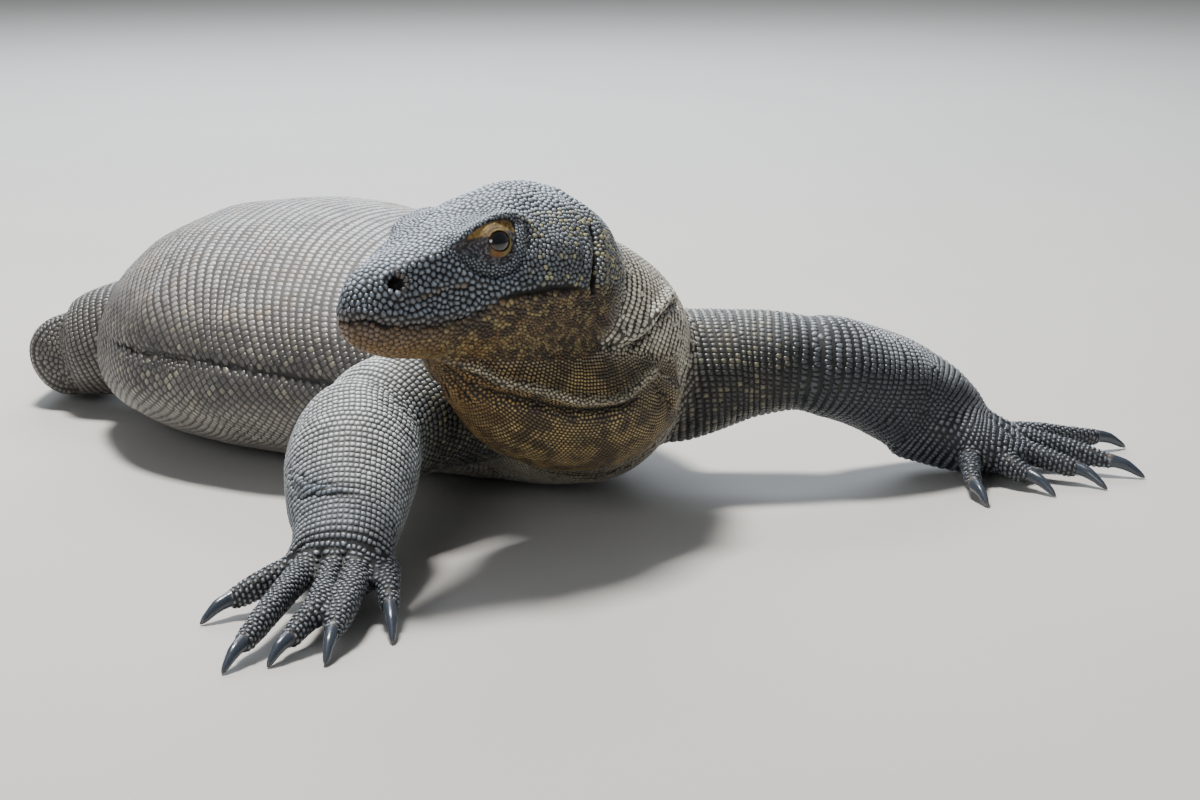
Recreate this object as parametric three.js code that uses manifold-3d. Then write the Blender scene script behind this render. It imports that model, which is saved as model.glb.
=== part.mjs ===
// A komodo dragon resting on its belly, head raised and turned to its right.
// Millimetres, +X towards the front of the trunk, +Y to the animal's left, +Z up, floor at z = 0.
// Each limb segment is a loft: rings along a curved axis, with a width, a height above the axis and a depth below it.
// The whole animal is lofted first, and its named parts are then divided from each other by thin cuts.
import * as THREE from "three";
import { mergeVertices } from "three/addons/utils/BufferGeometryUtils.js";
import Module from "manifold-3d";

const wasm = await Module();
wasm.setup();

// ---------------------------------------------------------------- driving sizes
const CUT = 0.35; // gap between neighbouring parts
const GROWTH = 0.6; // growth of a solid that another part is cut back by
const HEAD_LENGTH = 214; // ear opening to snout tip
const HEAD_AT = [93, -198, 197]; // point between the ears, at the height of the mouth line
const HEAD_YAW = -93.3; // degrees from +X
const HEAD_PITCH = 3.5;
const HEAD_ROLL = 3.5;
const EYE_RADIUS = 12.5;
const CLAW_RADIUS = 6;
const SPINE_SIDES = 20;
const LIMB_SIDES = 14;
const DIGIT_SIDES = 6;
const CLAW_SIDES = 5;
const SHIFT = [201, -41, 0]; // moves the finished animal so that its footprint is centred on the origin

const COLOURS = {
  back: 0x77736a,
  head: 0x4c5058,
  throat: 0x8a7348,
  leg: 0x5d5f60,
  foot: 0x46494d,
  claw: 0x2b2f35,
  eye: 0x2a1a10,
};

// ---------------------------------------------------------------- solids
const vector = (a) => new THREE.Vector3(a[0], a[1], a[2]);
const degrees = (a) => (a * Math.PI) / 180;

function solidOf(geometry) {
  geometry.deleteAttribute("normal");
  geometry.deleteAttribute("uv");
  const merged = mergeVertices(geometry, 1e-3);
  return new wasm.Manifold(
    new wasm.Mesh({
      numProp: 3,
      vertProperties: merged.attributes.position.array,
      triVerts: new Uint32Array(merged.index.array),
    }),
  );
}

function geometryOf(solid) {
  const mesh = solid.getMesh();
  const geometry = new THREE.BufferGeometry();
  geometry.setAttribute("position", new THREE.BufferAttribute(mesh.vertProperties, 3));
  geometry.setIndex(new THREE.BufferAttribute(mesh.triVerts, 1));
  return geometry;
}

// Catmull-Rom value of one number of the stations at position t, counted in stations.
function between(stations, index, t) {
  const last = stations.length - 1;
  const i = Math.min(Math.floor(t), last - 1);
  const f = t - i;
  const at = (k) => stations[Math.max(0, Math.min(last, k))][index];
  const [a, b, c, d] = [at(i - 1), at(i), at(i + 1), at(i + 2)];
  return b + 0.5 * f * (c - a + f * (2 * a - 5 * b + 4 * c - d + f * (3 * (b - c) + d - a)));
}

// Rings of points, closed at both ends by a point, as one solid.
function skinned(rings, first, last) {
  const sides = rings[0].length;
  const points = [first, ...rings.flat(), last];
  const faces = [];
  const at = (r, s) => 1 + r * sides + (s % sides);
  for (let s = 0; s < sides; s++) {
    faces.push(0, at(0, s + 1), at(0, s));
    faces.push(points.length - 1, at(rings.length - 1, s), at(rings.length - 1, s + 1));
    for (let r = 0; r + 1 < rings.length; r++) {
      faces.push(at(r, s), at(r, s + 1), at(r + 1, s + 1));
      faces.push(at(r, s), at(r + 1, s + 1), at(r + 1, s));
    }
  }
  const geometry = new THREE.BufferGeometry();
  const flat = new Float32Array(points.flatMap((p) => [p.x, p.y, p.z]));
  geometry.setAttribute("position", new THREE.BufferAttribute(flat, 3));
  geometry.setIndex(faces);
  return solidOf(geometry);
}

// A loft through stations [x, y, z, half width, height above, depth below], grown by `grow` all round.
function loft(stations, sides, step, grow = 0) {
  const rings = [];
  const last = stations.length - 1;
  const centre = (t) => new THREE.Vector3(...[0, 1, 2].map((k) => between(stations, k, t)));
  const knots = [];
  for (let i = 0; i < last; i++) {
    const pieces = Math.max(1, Math.round(centre(i).distanceTo(centre(i + 1)) / step));
    for (let k = 0; k < pieces; k++) knots.push(i + k / pieces);
  }
  knots.push(last);
  for (const t of knots) {
    const along = centre(Math.min(last, t + 0.05)).sub(centre(Math.max(0, t - 0.05))).normalize();
    const up = new THREE.Vector3(0, 0, 1).addScaledVector(along, -along.z).normalize();
    const left = new THREE.Vector3().crossVectors(up, along);
    const [width, above, below] = [3, 4, 5].map((k) => between(stations, k, t) + grow);
    const ring = [];
    for (let s = 0; s < sides; s++) {
      const a = (2 * Math.PI * s) / sides;
      const high = Math.sin(a) * (Math.sin(a) > 0 ? above : below);
      ring.push(centre(t).addScaledVector(left, width * Math.cos(a)).addScaledVector(up, high));
    }
    rings.push(ring);
  }
  const tip = (t, ring, sign) => {
    const along = centre(Math.min(last, t + 0.05)).sub(centre(Math.max(0, t - 0.05))).normalize();
    const size = Math.min(between(stations, 3, t), between(stations, 4, t)) + grow;
    return centre(t).addScaledVector(along, sign * 0.35 * size);
  };
  return skinned(rings, tip(0, rings[0], -1), tip(last, rings.at(-1), 1));
}

const onFloor = (solid) => solid.trimByPlane([0, 0, 1], 0);

// The two sides of a plane through a point, each set back by half a cut.
function parted(solid, point, direction) {
  const normal = vector(direction).normalize();
  const offset = normal.dot(vector(point));
  const n = normal.toArray();
  const m = normal.clone().negate().toArray();
  return [solid.trimByPlane(m, -offset + CUT / 2), solid.trimByPlane(n, offset + CUT / 2)];
}

// ---------------------------------------------------------------- spine, from the head to the tail tip
const SPINE = [
  [93, -232, 214, 44, 44, 42],
  [92, -196, 206, 58, 54, 62],
  [88, -160, 186, 72, 64, 84],
  [72, -118, 158, 84, 72, 104],
  [40, -82, 132, 98, 80, 112],
  [-6, -55, 114, 120, 88, 110],
  [-66, -40, 98, 146, 104, 100],
  [-150, -36, 88, 176, 122, 92],
  [-236, -38, 80, 194, 137, 84],
  [-316, -38, 76, 192, 140, 80],
  [-390, -24, 72, 158, 127, 76],
  [-452, 10, 70, 104, 86, 74],
  [-510, 66, 76, 86, 62, 80],
  [-566, 136, 70, 72, 58, 74],
  [-620, 212, 64, 63, 54, 68],
  [-664, 300, 58, 54, 50, 62],
  [-690, 396, 51, 45, 45, 55],
  [-684, 492, 44, 37, 40, 48],
  [-642, 578, 37, 29, 34, 41],
  [-568, 632, 30, 23, 28, 33],
  [-478, 644, 23, 17, 22, 25],
  [-396, 608, 16, 12, 16, 18],
  [-336, 544, 11, 8, 11, 12],
  [-302, 474, 6, 4, 5, 7],
];

// ---------------------------------------------------------------- head
// Stations along the head, as shares of HEAD_LENGTH from the ears, then in mm for a head of that length:
// crown height, brow [out, up], cheek or lip [out, up], jaw edge [out, up], underside height.
const HEAD = [
  [-0.2, 71, 38, 55, 55, 12, 40, -44, -54],
  [-0.08, 84, 44, 64, 66, 12, 46, -44, -56],
  [0.06, 91, 47, 68, 71, 10, 46, -42, -54],
  [0.22, 90, 47, 66, 69, 6, 42, -38, -48],
  [0.35, 80, 46, 66, 59, 6, 36, -34, -43],
  [0.46, 69, 43, 64, 51, 4, 33, -30, -40],
  [0.55, 62, 36, 57, 43, 0, 30, -28, -38],
  [0.65, 53, 29, 45, 36, -2, 27, -27, -36],
  [0.76, 46, 21, 37, 30, -2, 23, -24, -33],
  [0.87, 37, 15, 29, 23, -1, 16, -18, -26],
  [0.94, 24, 8, 18, 13, 1, 8, -13, -19],
];
const SNOUT_TIP = [0.975, 1];
const HEAD_SIDES = 20;
const HEAD_STEP = 0.08;

const headTurn = new THREE.Matrix4().makeRotationFromEuler(
  new THREE.Euler(degrees(HEAD_ROLL), -degrees(HEAD_PITCH), degrees(HEAD_YAW), "ZYX"),
);
const headPlace = new THREE.Matrix4().makeTranslation(...HEAD_AT).multiply(headTurn);
const inHead = (x, y, z) => new THREE.Vector3(x, y, z).applyMatrix4(headPlace);

// One ring of the head: a closed spline through its crown, brows, cheeks, jaw edges and underside.
function headRing(t, grow) {
  const [share, crown, browOut, browUp, cheekOut, cheekUp, jawOut, jawUp, under] = HEAD[0].map((_, k) =>
    between(HEAD, k, t),
  );
  const half = [
    [0, crown],
    [browOut, browUp],
    [cheekOut, cheekUp],
    [jawOut, jawUp],
    [0, under],
  ];
  const outline = [...half, ...half.slice(1, 4).reverse().map(([y, z]) => [-y, z])];
  const middle = (crown + under) / 2;
  const spline = new THREE.CatmullRomCurve3(
    outline.map(([y, z]) => new THREE.Vector3(0, y, z)),
    true,
    "centripetal",
  );
  return spline.getSpacedPoints(HEAD_SIDES).slice(0, HEAD_SIDES).map((p) => {
    const out = new THREE.Vector2(p.y, p.z - middle);
    out.setLength(out.length() + grow);
    return inHead(share * HEAD_LENGTH, out.x, out.y + middle);
  });
}

function headSolid(grow = 0) {
  const rings = [];
  for (let i = 0; i + 1 < HEAD.length; i++) {
    const pieces = Math.max(1, Math.round((HEAD[i + 1][0] - HEAD[i][0]) / HEAD_STEP));
    for (let k = 0; k < pieces; k++) rings.push(headRing(i + k / pieces, grow).reverse());
  }
  rings.push(headRing(HEAD.length - 1, grow).reverse());
  const back = inHead(HEAD[0][0] * HEAD_LENGTH - 12, 0, 10);
  const tip = inHead(SNOUT_TIP[0] * HEAD_LENGTH + grow, 0, SNOUT_TIP[1]);
  return skinned(rings, back, tip);
}

// ---------------------------------------------------------------- throat
const THROAT = [
  [0.56, 0, -18, 10, 12, 12],
  [0.44, 0, -28, 24, 20, 24],
  [0.28, 0, -46, 44, 36, 42],
  [0.1, 2, -64, 58, 50, 58],
  [-0.12, 6, -76, 64, 58, 63],
  [-0.34, 8, -82, 60, 58, 57],
  [-0.52, 14, -72, 44, 44, 44],
].map(([share, y, z, w, up, down]) => [...inHead(share * HEAD_LENGTH, y, z).toArray(), w, up, down]);

// ---------------------------------------------------------------- legs
const ARMS = {
  right: {
    upper: [
      [-20, -96, 90, 50, 46, 50],
      [-24, -150, 92, 58, 54, 56],
      [-20, -218, 95, 56, 52, 54],
      [-14, -268, 94, 50, 48, 50],
      [-12, -294, 92, 34, 32, 34],
    ],
    lower: [
      [-18, -262, 92, 34, 34, 34],
      [-12, -286, 90, 48, 46, 48],
      [16, -326, 78, 53, 46, 52],
      [44, -362, 62, 48, 38, 46],
      [66, -388, 51, 42, 32, 38],
      [88, -420, 42, 35, 21, 31],
    ],
    foot: { at: [75, -399], heading: -62 },
  },
  left: {
    upper: [
      [40, -20, 92, 50, 46, 50],
      [72, 10, 96, 60, 56, 58],
      [112, 48, 102, 55, 50, 46],
      [148, 80, 104, 48, 44, 38],
      [162, 96, 102, 33, 31, 27],
    ],
    lower: [
      [146, 70, 102, 33, 33, 27],
      [158, 86, 101, 47, 46, 38],
      [184, 134, 86, 51, 47, 44],
      [204, 172, 69, 48, 42, 50],
      [216, 196, 57, 45, 38, 52],
      [230, 220, 47, 36, 23, 38],
    ],
    foot: { at: [220, 184], heading: 10 },
  },
};

const THIGHS = {
  right: {
    upper: [
      [-430, -20, 84, 56, 46, 58],
      [-466, -44, 82, 62, 52, 62],
      [-512, -72, 72, 60, 50, 60],
      [-546, -92, 58, 52, 44, 50],
      [-558, -100, 56, 30, 26, 30],
    ],
    lower: [
      [-546, -112, 54, 30, 28, 30],
      [-558, -98, 52, 44, 38, 44],
      [-592, -52, 46, 40, 34, 40],
      [-620, -14, 40, 32, 26, 34],
      [-632, 2, 36, 30, 22, 30],
    ],
    foot: { at: [-628, -4], heading: 136 },
  },
  left: {
    upper: [
      [-424, 50, 84, 56, 46, 60],
      [-400, 96, 84, 60, 50, 62],
      [-366, 146, 80, 52, 44, 56],
      [-344, 176, 74, 44, 38, 44],
      [-338, 188, 72, 28, 26, 28],
    ],
    lower: [
      [-330, 180, 72, 28, 28, 30],
      [-344, 188, 69, 42, 38, 44],
      [-382, 204, 58, 40, 34, 42],
      [-426, 218, 44, 32, 26, 34],
      [-446, 224, 38, 30, 22, 30],
    ],
    foot: { at: [-440, 222], heading: 48 },
  },
};

// Front digits, from the inner one: knuckle, middle joint, last joint and claw tip.
const FINGERS = {
  right: [
    [[112, -396, 30], [136, -420, 27], [154, -438, 18], [178, -462, 1]],
    [[114, -430, 32], [142, -470, 26], [157, -500, 16], [174, -526, 1]],
    [[99, -437, 33], [131, -490, 26], [140, -526, 14], [145, -552, 1]],
    [[77, -445, 32], [109, -514, 25], [122, -552, 14], [131, -581, 1]],
    [[56, -430, 28], [50, -462, 22], [43, -485, 14], [40, -513, 1]],
  ],
  left: [
    [[262, 172, 24], [282, 144, 20], [296, 126, 13], [319, 110, 1]],
    [[270, 190, 27], [298, 180, 21], [318, 179, 14], [346, 174, 1]],
    [[274, 212, 29], [308, 216, 23], [338, 222, 15], [369, 221, 1]],
    [[272, 234, 29], [312, 254, 22], [349, 265, 14], [376, 275, 1]],
    [[262, 256, 27], [278, 296, 21], [296, 336, 14], [312, 362, 1]],
  ],
};

// Hind digits, from the inner one: knuckle reach, splay in degrees and length, for a foot of one ankle and heading.
const TOES = [
  [64, 30, 44],
  [78, 16, 62],
  [86, 3, 82],
  [84, -12, 98],
  [50, -46, 72],
];
const FINGER_RADIUS = 8.6;
const TOE_RADIUS = 9.2;

// Places a foot: x along its axis from the wrist or ankle, y towards the inner digit, z up from the floor.
function footFrame(foot, side) {
  const turn = degrees(foot.heading);
  const inward = side === "right" ? 1 : -1;
  const [c, s] = [Math.cos(turn), Math.sin(turn)];
  return (x, y, z) => [foot.at[0] + c * x - s * y * inward, foot.at[1] + s * x + c * y * inward, z];
}

function toesOf(place) {
  return TOES.map(([reach, splay, length]) => {
    const [c, s] = [Math.cos(degrees(splay)), Math.sin(degrees(splay))];
    const at = (d, z) => place(reach * c + d * c, reach * s + d * s, z);
    return [at(-8, 30), at(length * 0.5, 23), at(length, 13), at(length + 30, 1)];
  });
}

function digitSolid(points, r, root) {
  const [knuckle, middle, last] = points;
  const mix = (a, b, f) => a.map((v, i) => v + (b[i] - v) * f);
  const end = mix(middle, last, 1.06);
  return loft(
    [
      [...mix(root, knuckle, 0.6), r, r, r * 1.2],
      [...knuckle, r * 1.24, r * 1.25, r * 1.5],
      [...middle, r * 1.08, r * 1.08, r * 1.5],
      [...mix(middle, last, 0.6), r, r * 0.95, r * 1.35],
      [...end, r * 0.85, r * 0.8, r * 1.05],
    ],
    DIGIT_SIDES,
    60,
  );
}

// A curved claw from inside the last joint of its digit down to the floor.
function clawSolid(points, grow = 0) {
  const [, middle, last, tip] = points.map(vector);
  const along = last.clone().sub(middle).normalize();
  const root = last.clone().addScaledVector(along, -7);
  const high = last.clone().lerp(tip, 0.45).add(new THREE.Vector3(0, 0, 3.4));
  const curve = new THREE.CatmullRomCurve3([root, last, high, tip]);
  const shares = [1, 1, 0.75, 0.14];
  return loft(
    shares.map((share, i) => {
      const r = CLAW_RADIUS * share + grow;
      return [...curve.getPoint(i / (shares.length - 1)).toArray(), r * 0.8, r, r * 1.1];
    }),
    CLAW_SIDES,
    40,
  );
}

function pawSolid(place, digits, palm, r) {
  const [first, , middle, , last] = digits.map((d) => vector(d[0]));
  const across = first.distanceTo(last) * 0.5;
  const centre = first.clone().lerp(last, 0.5).lerp(middle, 0.5);
  const wrist = vector(place(0, 0, 44));
  const at = (f, z) => [...wrist.clone().lerp(centre, f).setZ(z).toArray()];
  const body = loft(
    [
      [...at(-0.55, 48), palm * 0.86, 27, 36],
      [...at(0, 44), palm * 1.04, 27, 39],
      [...at(0.5, 39), palm * 0.74 + across * 0.35, 24, 38],
      [...at(1, 32), across + 4, 17, 32],
      [...at(1.4, 25), across * 0.84, 10, 24],
    ],
    10,
    50,
  );
  const root = at(0, 38);
  return digits.reduce((solid, points) => solid.add(digitSolid(points, r, root)), body);
}

// ---------------------------------------------------------------- the parts
const animal = new THREE.Group();

function addPart(name, solid, colour, finish) {
  const material = new THREE.MeshStandardMaterial({ color: colour, metalness: 0, ...finish });
  const mesh = new THREE.Mesh(geometryOf(solid.translate(SHIFT)), material);
  mesh.name = name;
  animal.add(mesh);
  return mesh;
}

const skinFinish = { roughness: 0.62 };
const clawFinish = { roughness: 0.35 };
const eyeFinish = { roughness: 0.08 };

const spine = onFloor(loft(SPINE, SPINE_SIDES, 60));
const spineGrown = loft(SPINE, SPINE_SIDES, 60, GROWTH);
const wholeHead = headSolid();
const headGrown = headSolid(GROWTH);
const throatSolid = onFloor(loft(THROAT, 16, 40));
const throatGrown = loft(THROAT, 16, 40, GROWTH);

const EYES = {
  left: inHead(0.44 * HEAD_LENGTH, 43, 50),
  right: inHead(0.44 * HEAD_LENGTH, -43, 50),
};
const ball = (centre, radius) => {
  const sphere = new THREE.SphereGeometry(radius, 12, 8);
  sphere.translate(centre.x, centre.y, centre.z);
  return solidOf(sphere);
};

// Head, with its eye sockets, and the lower jaw under the mouth line.
let skull = wholeHead;
for (const centre of Object.values(EYES)) skull = skull.subtract(ball(centre, EYE_RADIUS + CUT));
const mouthPoint = inHead(0.95 * HEAD_LENGTH, 0, -6);
const mouthUp = inHead(0.09, 0, 1).sub(inHead(0, 0, 0));
const [jawSide, skullSide] = parted(skull, mouthPoint.toArray(), mouthUp.toArray());
const jawBack = inHead(0.08 * HEAD_LENGTH, 0, 0).toArray();
const headForward = inHead(1, 0, 0).sub(inHead(0, 0, 0)).toArray();
const lowerJaw = parted(jawSide, jawBack, headForward)[1];
const jawSpace = headSolid(2)
  .trimByPlane(vector(headForward).normalize().toArray(), vector(headForward).normalize().dot(vector(jawBack)) - CUT)
  .trimByPlane(mouthUp.clone().normalize().negate().toArray(), -mouthUp.clone().normalize().dot(mouthPoint) - CUT);
const headPart = skull.subtract(jawSpace);

addPart("head", headPart, COLOURS.head, skinFinish);
addPart("lower_jaw", lowerJaw, COLOURS.head, skinFinish);
for (const [side, centre] of Object.entries(EYES)) addPart(`eye_${side}`, ball(centre, EYE_RADIUS), COLOURS.eye, eyeFinish);

// Neck, trunk and the three lengths of the tail, divided square to the spine.
const cutAt = (k) => {
  const direction = vector(SPINE[k + 1]).sub(vector(SPINE[k - 1]));
  return [SPINE[k].slice(0, 3), direction.toArray()];
};
const [spineFront, tailAll] = parted(spine, ...cutAt(12));
const [tailBase, tailRest] = parted(tailAll, ...cutAt(16));
const [tailMiddle, tailTip] = parted(tailRest, ...cutAt(19));
const [neckSide, trunk] = parted(spineFront, ...cutAt(4));
const neck = neckSide.subtract(headGrown);
addPart("neck", neck, COLOURS.back, skinFinish);
addPart("throat", throatSolid.subtract(headGrown).subtract(spineGrown), COLOURS.throat, skinFinish);
addPart("trunk", trunk, COLOURS.back, skinFinish);
addPart("tail_base", tailBase, COLOURS.back, skinFinish);
addPart("tail_middle", tailMiddle, COLOURS.back, skinFinish);
addPart("tail_tip", tailTip, COLOURS.back, skinFinish);

// Legs: each upper segment is cut back by the trunk and by its lower segment, and each lower one by its foot.
function addLeg(side, leg, digits, palm, r, names) {
  const place = footFrame(leg.foot, side);
  const claws = digits.map((points) => clawSolid(points));
  const grownClaws = digits.map((points) => clawSolid(points, GROWTH));
  const paw = grownClaws.reduce((solid, claw) => solid.subtract(claw), pawSolid(place, digits, palm, r));
  const wrist = [place(4, 0, 0), vector(place(1, 0, 0)).sub(vector(place(0, 0, 0))).toArray()];
  const pawPart = parted(paw, ...wrist)[1];
  const lowerPart = parted(loft(leg.lower, LIMB_SIDES, 40), ...wrist)[0];
  const lowerGrown = loft(leg.lower, LIMB_SIDES, 40, GROWTH);
  const upper = loft(leg.upper, LIMB_SIDES, 40);
  const upperPart = upper.subtract(spineGrown).subtract(throatGrown).subtract(lowerGrown);
  addPart(`${names[0]}_${side}`, onFloor(upperPart), COLOURS.leg, skinFinish);
  addPart(`${names[1]}_${side}`, onFloor(lowerPart.subtract(spineGrown)), COLOURS.leg, skinFinish);
  addPart(`${names[2]}_${side}`, onFloor(pawPart), COLOURS.foot, skinFinish);
  claws.forEach((claw, k) => addPart(`${names[3]}_${side}_${k + 1}`, onFloor(claw), COLOURS.claw, clawFinish));
}
for (const side of ["right", "left"]) {
  addLeg(side, ARMS[side], FINGERS[side], 38, FINGER_RADIUS, ["upper_arm", "forearm", "hand", "claw_fore"]);
  const toes = toesOf(footFrame(THIGHS[side].foot, side));
  addLeg(side, THIGHS[side], toes, 34, TOE_RADIUS, ["thigh", "shank", "foot", "claw_hind"]);
}

export default animal;
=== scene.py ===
"""A life-size komodo dragon at rest: one skin, its scales, the eyes, the eyelids and the claws."""

import itertools
import math

import bmesh
import bpy
import numpy as np
from bpy.props import FloatProperty, FloatVectorProperty, IntProperty, PointerProperty
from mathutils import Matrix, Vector
from mathutils.bvhtree import BVHTree
from mathutils.kdtree import KDTree
from numpy.linalg import norm


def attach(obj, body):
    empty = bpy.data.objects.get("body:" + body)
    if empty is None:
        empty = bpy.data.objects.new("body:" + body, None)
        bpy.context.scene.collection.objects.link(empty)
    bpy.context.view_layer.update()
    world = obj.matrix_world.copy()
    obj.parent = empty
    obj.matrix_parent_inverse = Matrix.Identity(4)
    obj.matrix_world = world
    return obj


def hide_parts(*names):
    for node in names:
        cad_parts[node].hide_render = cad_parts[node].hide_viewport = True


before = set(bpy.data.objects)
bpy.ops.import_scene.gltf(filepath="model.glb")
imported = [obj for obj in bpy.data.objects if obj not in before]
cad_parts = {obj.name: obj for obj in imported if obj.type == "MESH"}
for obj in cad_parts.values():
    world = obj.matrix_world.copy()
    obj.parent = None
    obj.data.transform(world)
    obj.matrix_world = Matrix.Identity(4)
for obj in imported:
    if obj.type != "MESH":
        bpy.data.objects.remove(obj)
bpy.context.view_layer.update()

bl_info = {
    "name": "Komodo dragon at rest",
    "version": (1, 0, 0),
    "blender": (4, 5, 0),
    "location": "3D View > Sidebar > Komodo",
    "description": "Builds the skin, scales, eyes, lids and claws of a resting komodo dragon",
    "category": "Add Mesh",
}

MM = 0.001

# ---------- body plan
# Every length of the body is a loft through stations: x, y, z of its axis, then half width, height above
# and depth below, all in millimetres. OFFSET carries the plan onto the centre of the animal's footprint.
OFFSET = np.array([201.0, -41.0, 0.0])

SPINE = [
    [93, -232, 214, 44, 44, 42], [92, -196, 206, 58, 54, 62], [88, -160, 186, 72, 64, 84],
    [72, -118, 158, 84, 72, 104], [40, -82, 132, 98, 80, 112], [-6, -55, 114, 120, 88, 110],
    [-66, -40, 98, 146, 104, 100], [-150, -36, 88, 176, 122, 92], [-236, -38, 80, 194, 137, 84],
    [-316, -38, 76, 192, 140, 80], [-390, -24, 72, 158, 127, 76], [-452, 10, 70, 104, 86, 74],
    [-510, 66, 76, 86, 62, 80], [-566, 136, 70, 72, 58, 74], [-620, 212, 64, 63, 54, 68],
    [-664, 300, 58, 54, 50, 62], [-690, 396, 51, 45, 45, 55], [-684, 492, 44, 37, 40, 48],
    [-642, 578, 37, 29, 34, 41], [-568, 632, 30, 23, 28, 33], [-478, 644, 23, 17, 22, 25],
    [-396, 608, 16, 12, 16, 18], [-336, 544, 11, 8, 11, 12], [-302, 474, 6, 4, 5, 7],
]  # fmt: skip
LIMBS = {
    "upper_arm_right": [
        [-20, -96, 90, 50, 46, 50], [-24, -150, 92, 58, 54, 56], [-20, -218, 95, 56, 52, 54],
        [-14, -268, 94, 50, 48, 50], [-12, -294, 92, 34, 32, 34],
    ],
    "forearm_right": [
        [-18, -262, 92, 34, 34, 34], [-12, -286, 90, 48, 46, 48], [16, -326, 78, 53, 46, 52],
        [44, -362, 62, 48, 38, 46], [66, -388, 51, 42, 32, 38], [88, -420, 42, 35, 21, 31],
    ],
    "upper_arm_left": [
        [40, -20, 92, 50, 46, 50], [72, 10, 96, 60, 56, 58], [112, 48, 102, 55, 50, 46],
        [148, 80, 104, 48, 44, 38], [162, 96, 102, 33, 31, 27],
    ],
    "forearm_left": [
        [146, 70, 102, 33, 33, 27], [158, 86, 101, 47, 46, 38], [184, 134, 86, 51, 47, 44],
        [204, 172, 69, 48, 42, 50], [216, 196, 57, 45, 38, 52], [230, 220, 47, 36, 23, 38],
    ],
    "thigh_right": [
        [-430, -20, 84, 56, 46, 58], [-466, -44, 82, 62, 52, 62], [-512, -72, 72, 60, 50, 60],
        [-546, -92, 58, 52, 44, 50], [-558, -100, 56, 30, 26, 30],
    ],
    "shank_right": [
        [-546, -112, 54, 30, 28, 30], [-558, -98, 52, 44, 38, 44], [-592, -52, 46, 40, 34, 40],
        [-620, -14, 40, 32, 26, 34], [-632, 2, 36, 30, 22, 30],
    ],
    "thigh_left": [
        [-424, 50, 84, 56, 46, 60], [-400, 96, 84, 60, 50, 62], [-366, 146, 80, 52, 44, 56],
        [-344, 176, 74, 44, 38, 44], [-338, 188, 72, 28, 26, 28],
    ],
    "shank_left": [
        [-330, 180, 72, 28, 28, 30], [-344, 188, 69, 42, 38, 44], [-382, 204, 58, 40, 34, 42],
        [-426, 218, 44, 32, 26, 34], [-446, 224, 38, 30, 22, 30],
    ],
}  # fmt: skip
# Front digits from the inner one: knuckle, middle joint, last joint and claw tip.
FINGERS = {
    "right": [
        [[112, -396, 30], [136, -420, 27], [154, -438, 18], [178, -462, 1]],
        [[114, -430, 32], [142, -470, 26], [157, -500, 16], [174, -526, 1]],
        [[99, -437, 33], [131, -490, 26], [140, -526, 14], [145, -552, 1]],
        [[77, -445, 32], [109, -514, 25], [122, -552, 14], [131, -581, 1]],
        [[56, -430, 28], [50, -462, 22], [43, -485, 14], [40, -513, 1]],
    ],
    "left": [
        [[262, 172, 24], [282, 144, 20], [296, 126, 13], [319, 110, 1]],
        [[270, 190, 27], [298, 180, 21], [318, 179, 14], [346, 174, 1]],
        [[274, 212, 29], [308, 216, 23], [338, 222, 15], [369, 221, 1]],
        [[272, 234, 29], [312, 254, 22], [349, 265, 14], [376, 275, 1]],
        [[262, 256, 27], [278, 296, 21], [296, 336, 14], [312, 362, 1]],
    ],
}
# Hind digits from the inner one: knuckle reach, splay in degrees and length, from the ankle.
TOES = [[64, 30, 44], [78, 16, 62], [86, 3, 82], [84, -12, 98], [50, -46, 72]]
FEET = {  # wrist or ankle, heading in degrees, half width of the palm, digit radius
    "fore_right": ((75, -399), -62, 38, 8.6),
    "fore_left": ((220, 184), 10, 38, 8.6),
    "hind_right": ((-628, -4), 136, 34, 9.2),
    "hind_left": ((-440, 222), 48, 34, 9.2),
}
# Half depth of a claw at its root, and its height above the floor, in mm.
CLAW_RADIUS, CLAW_FLOOR = 6.0, 0.2

HEAD_LENGTH = 214
HEAD_AT = np.array([93.0, -198.0, 197.0])
# How far the head is turned, tipped up and leant over.
HEAD_YAW, HEAD_PITCH, HEAD_ROLL = (math.radians(a) for a in (-93.3, 3.5, 3.5))
# Head rings: share of the length from the ears, height of the crown, then brow, temple, cheek and jaw as
# [out, up], and the underside.
HEAD = [
    [-0.2, 71, 38, 55, 55, 12, 40, -44, -54],
    [-0.08, 84, 44, 64, 66, 12, 46, -44, -56],
    [0.06, 91, 47, 68, 71, 10, 46, -42, -54],
    [0.22, 90, 47, 66, 69, 6, 42, -38, -48],
    [0.35, 80, 46, 66, 59, 6, 36, -34, -43],
    [0.46, 69, 43, 64, 51, 4, 33, -30, -40],
    [0.55, 62, 36, 57, 43, 0, 30, -28, -38],
    [0.65, 53, 29, 45, 36, -2, 27, -27, -36],
    [0.76, 46, 21, 37, 30, -2, 23, -24, -33],
    [0.87, 37, 15, 29, 23, -1, 16, -18, -26],
    [0.94, 24, 8, 18, 13, 1, 8, -13, -19],
]
SNOUT_TIP = (0.975, 1)
# Throat stations in the head's own frame: share of its length, y, z, half width, above, below.
THROAT = [
    [0.56, 0, -18, 10, 12, 12], [0.44, 0, -28, 24, 20, 24], [0.28, 0, -46, 44, 36, 42],
    [0.1, 2, -64, 58, 50, 58], [-0.12, 6, -76, 64, 58, 63], [-0.34, 8, -82, 60, 58, 57],
    [-0.52, 14, -72, 44, 44, 44],
]  # fmt: skip
EYE_AT = (0.44 * HEAD_LENGTH, 43, 50)
EYE_RADIUS = 12.5
EYE_OUT = np.array([0.26, 0.94, 0.20]) / norm([0.26, 0.94, 0.20])


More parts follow.
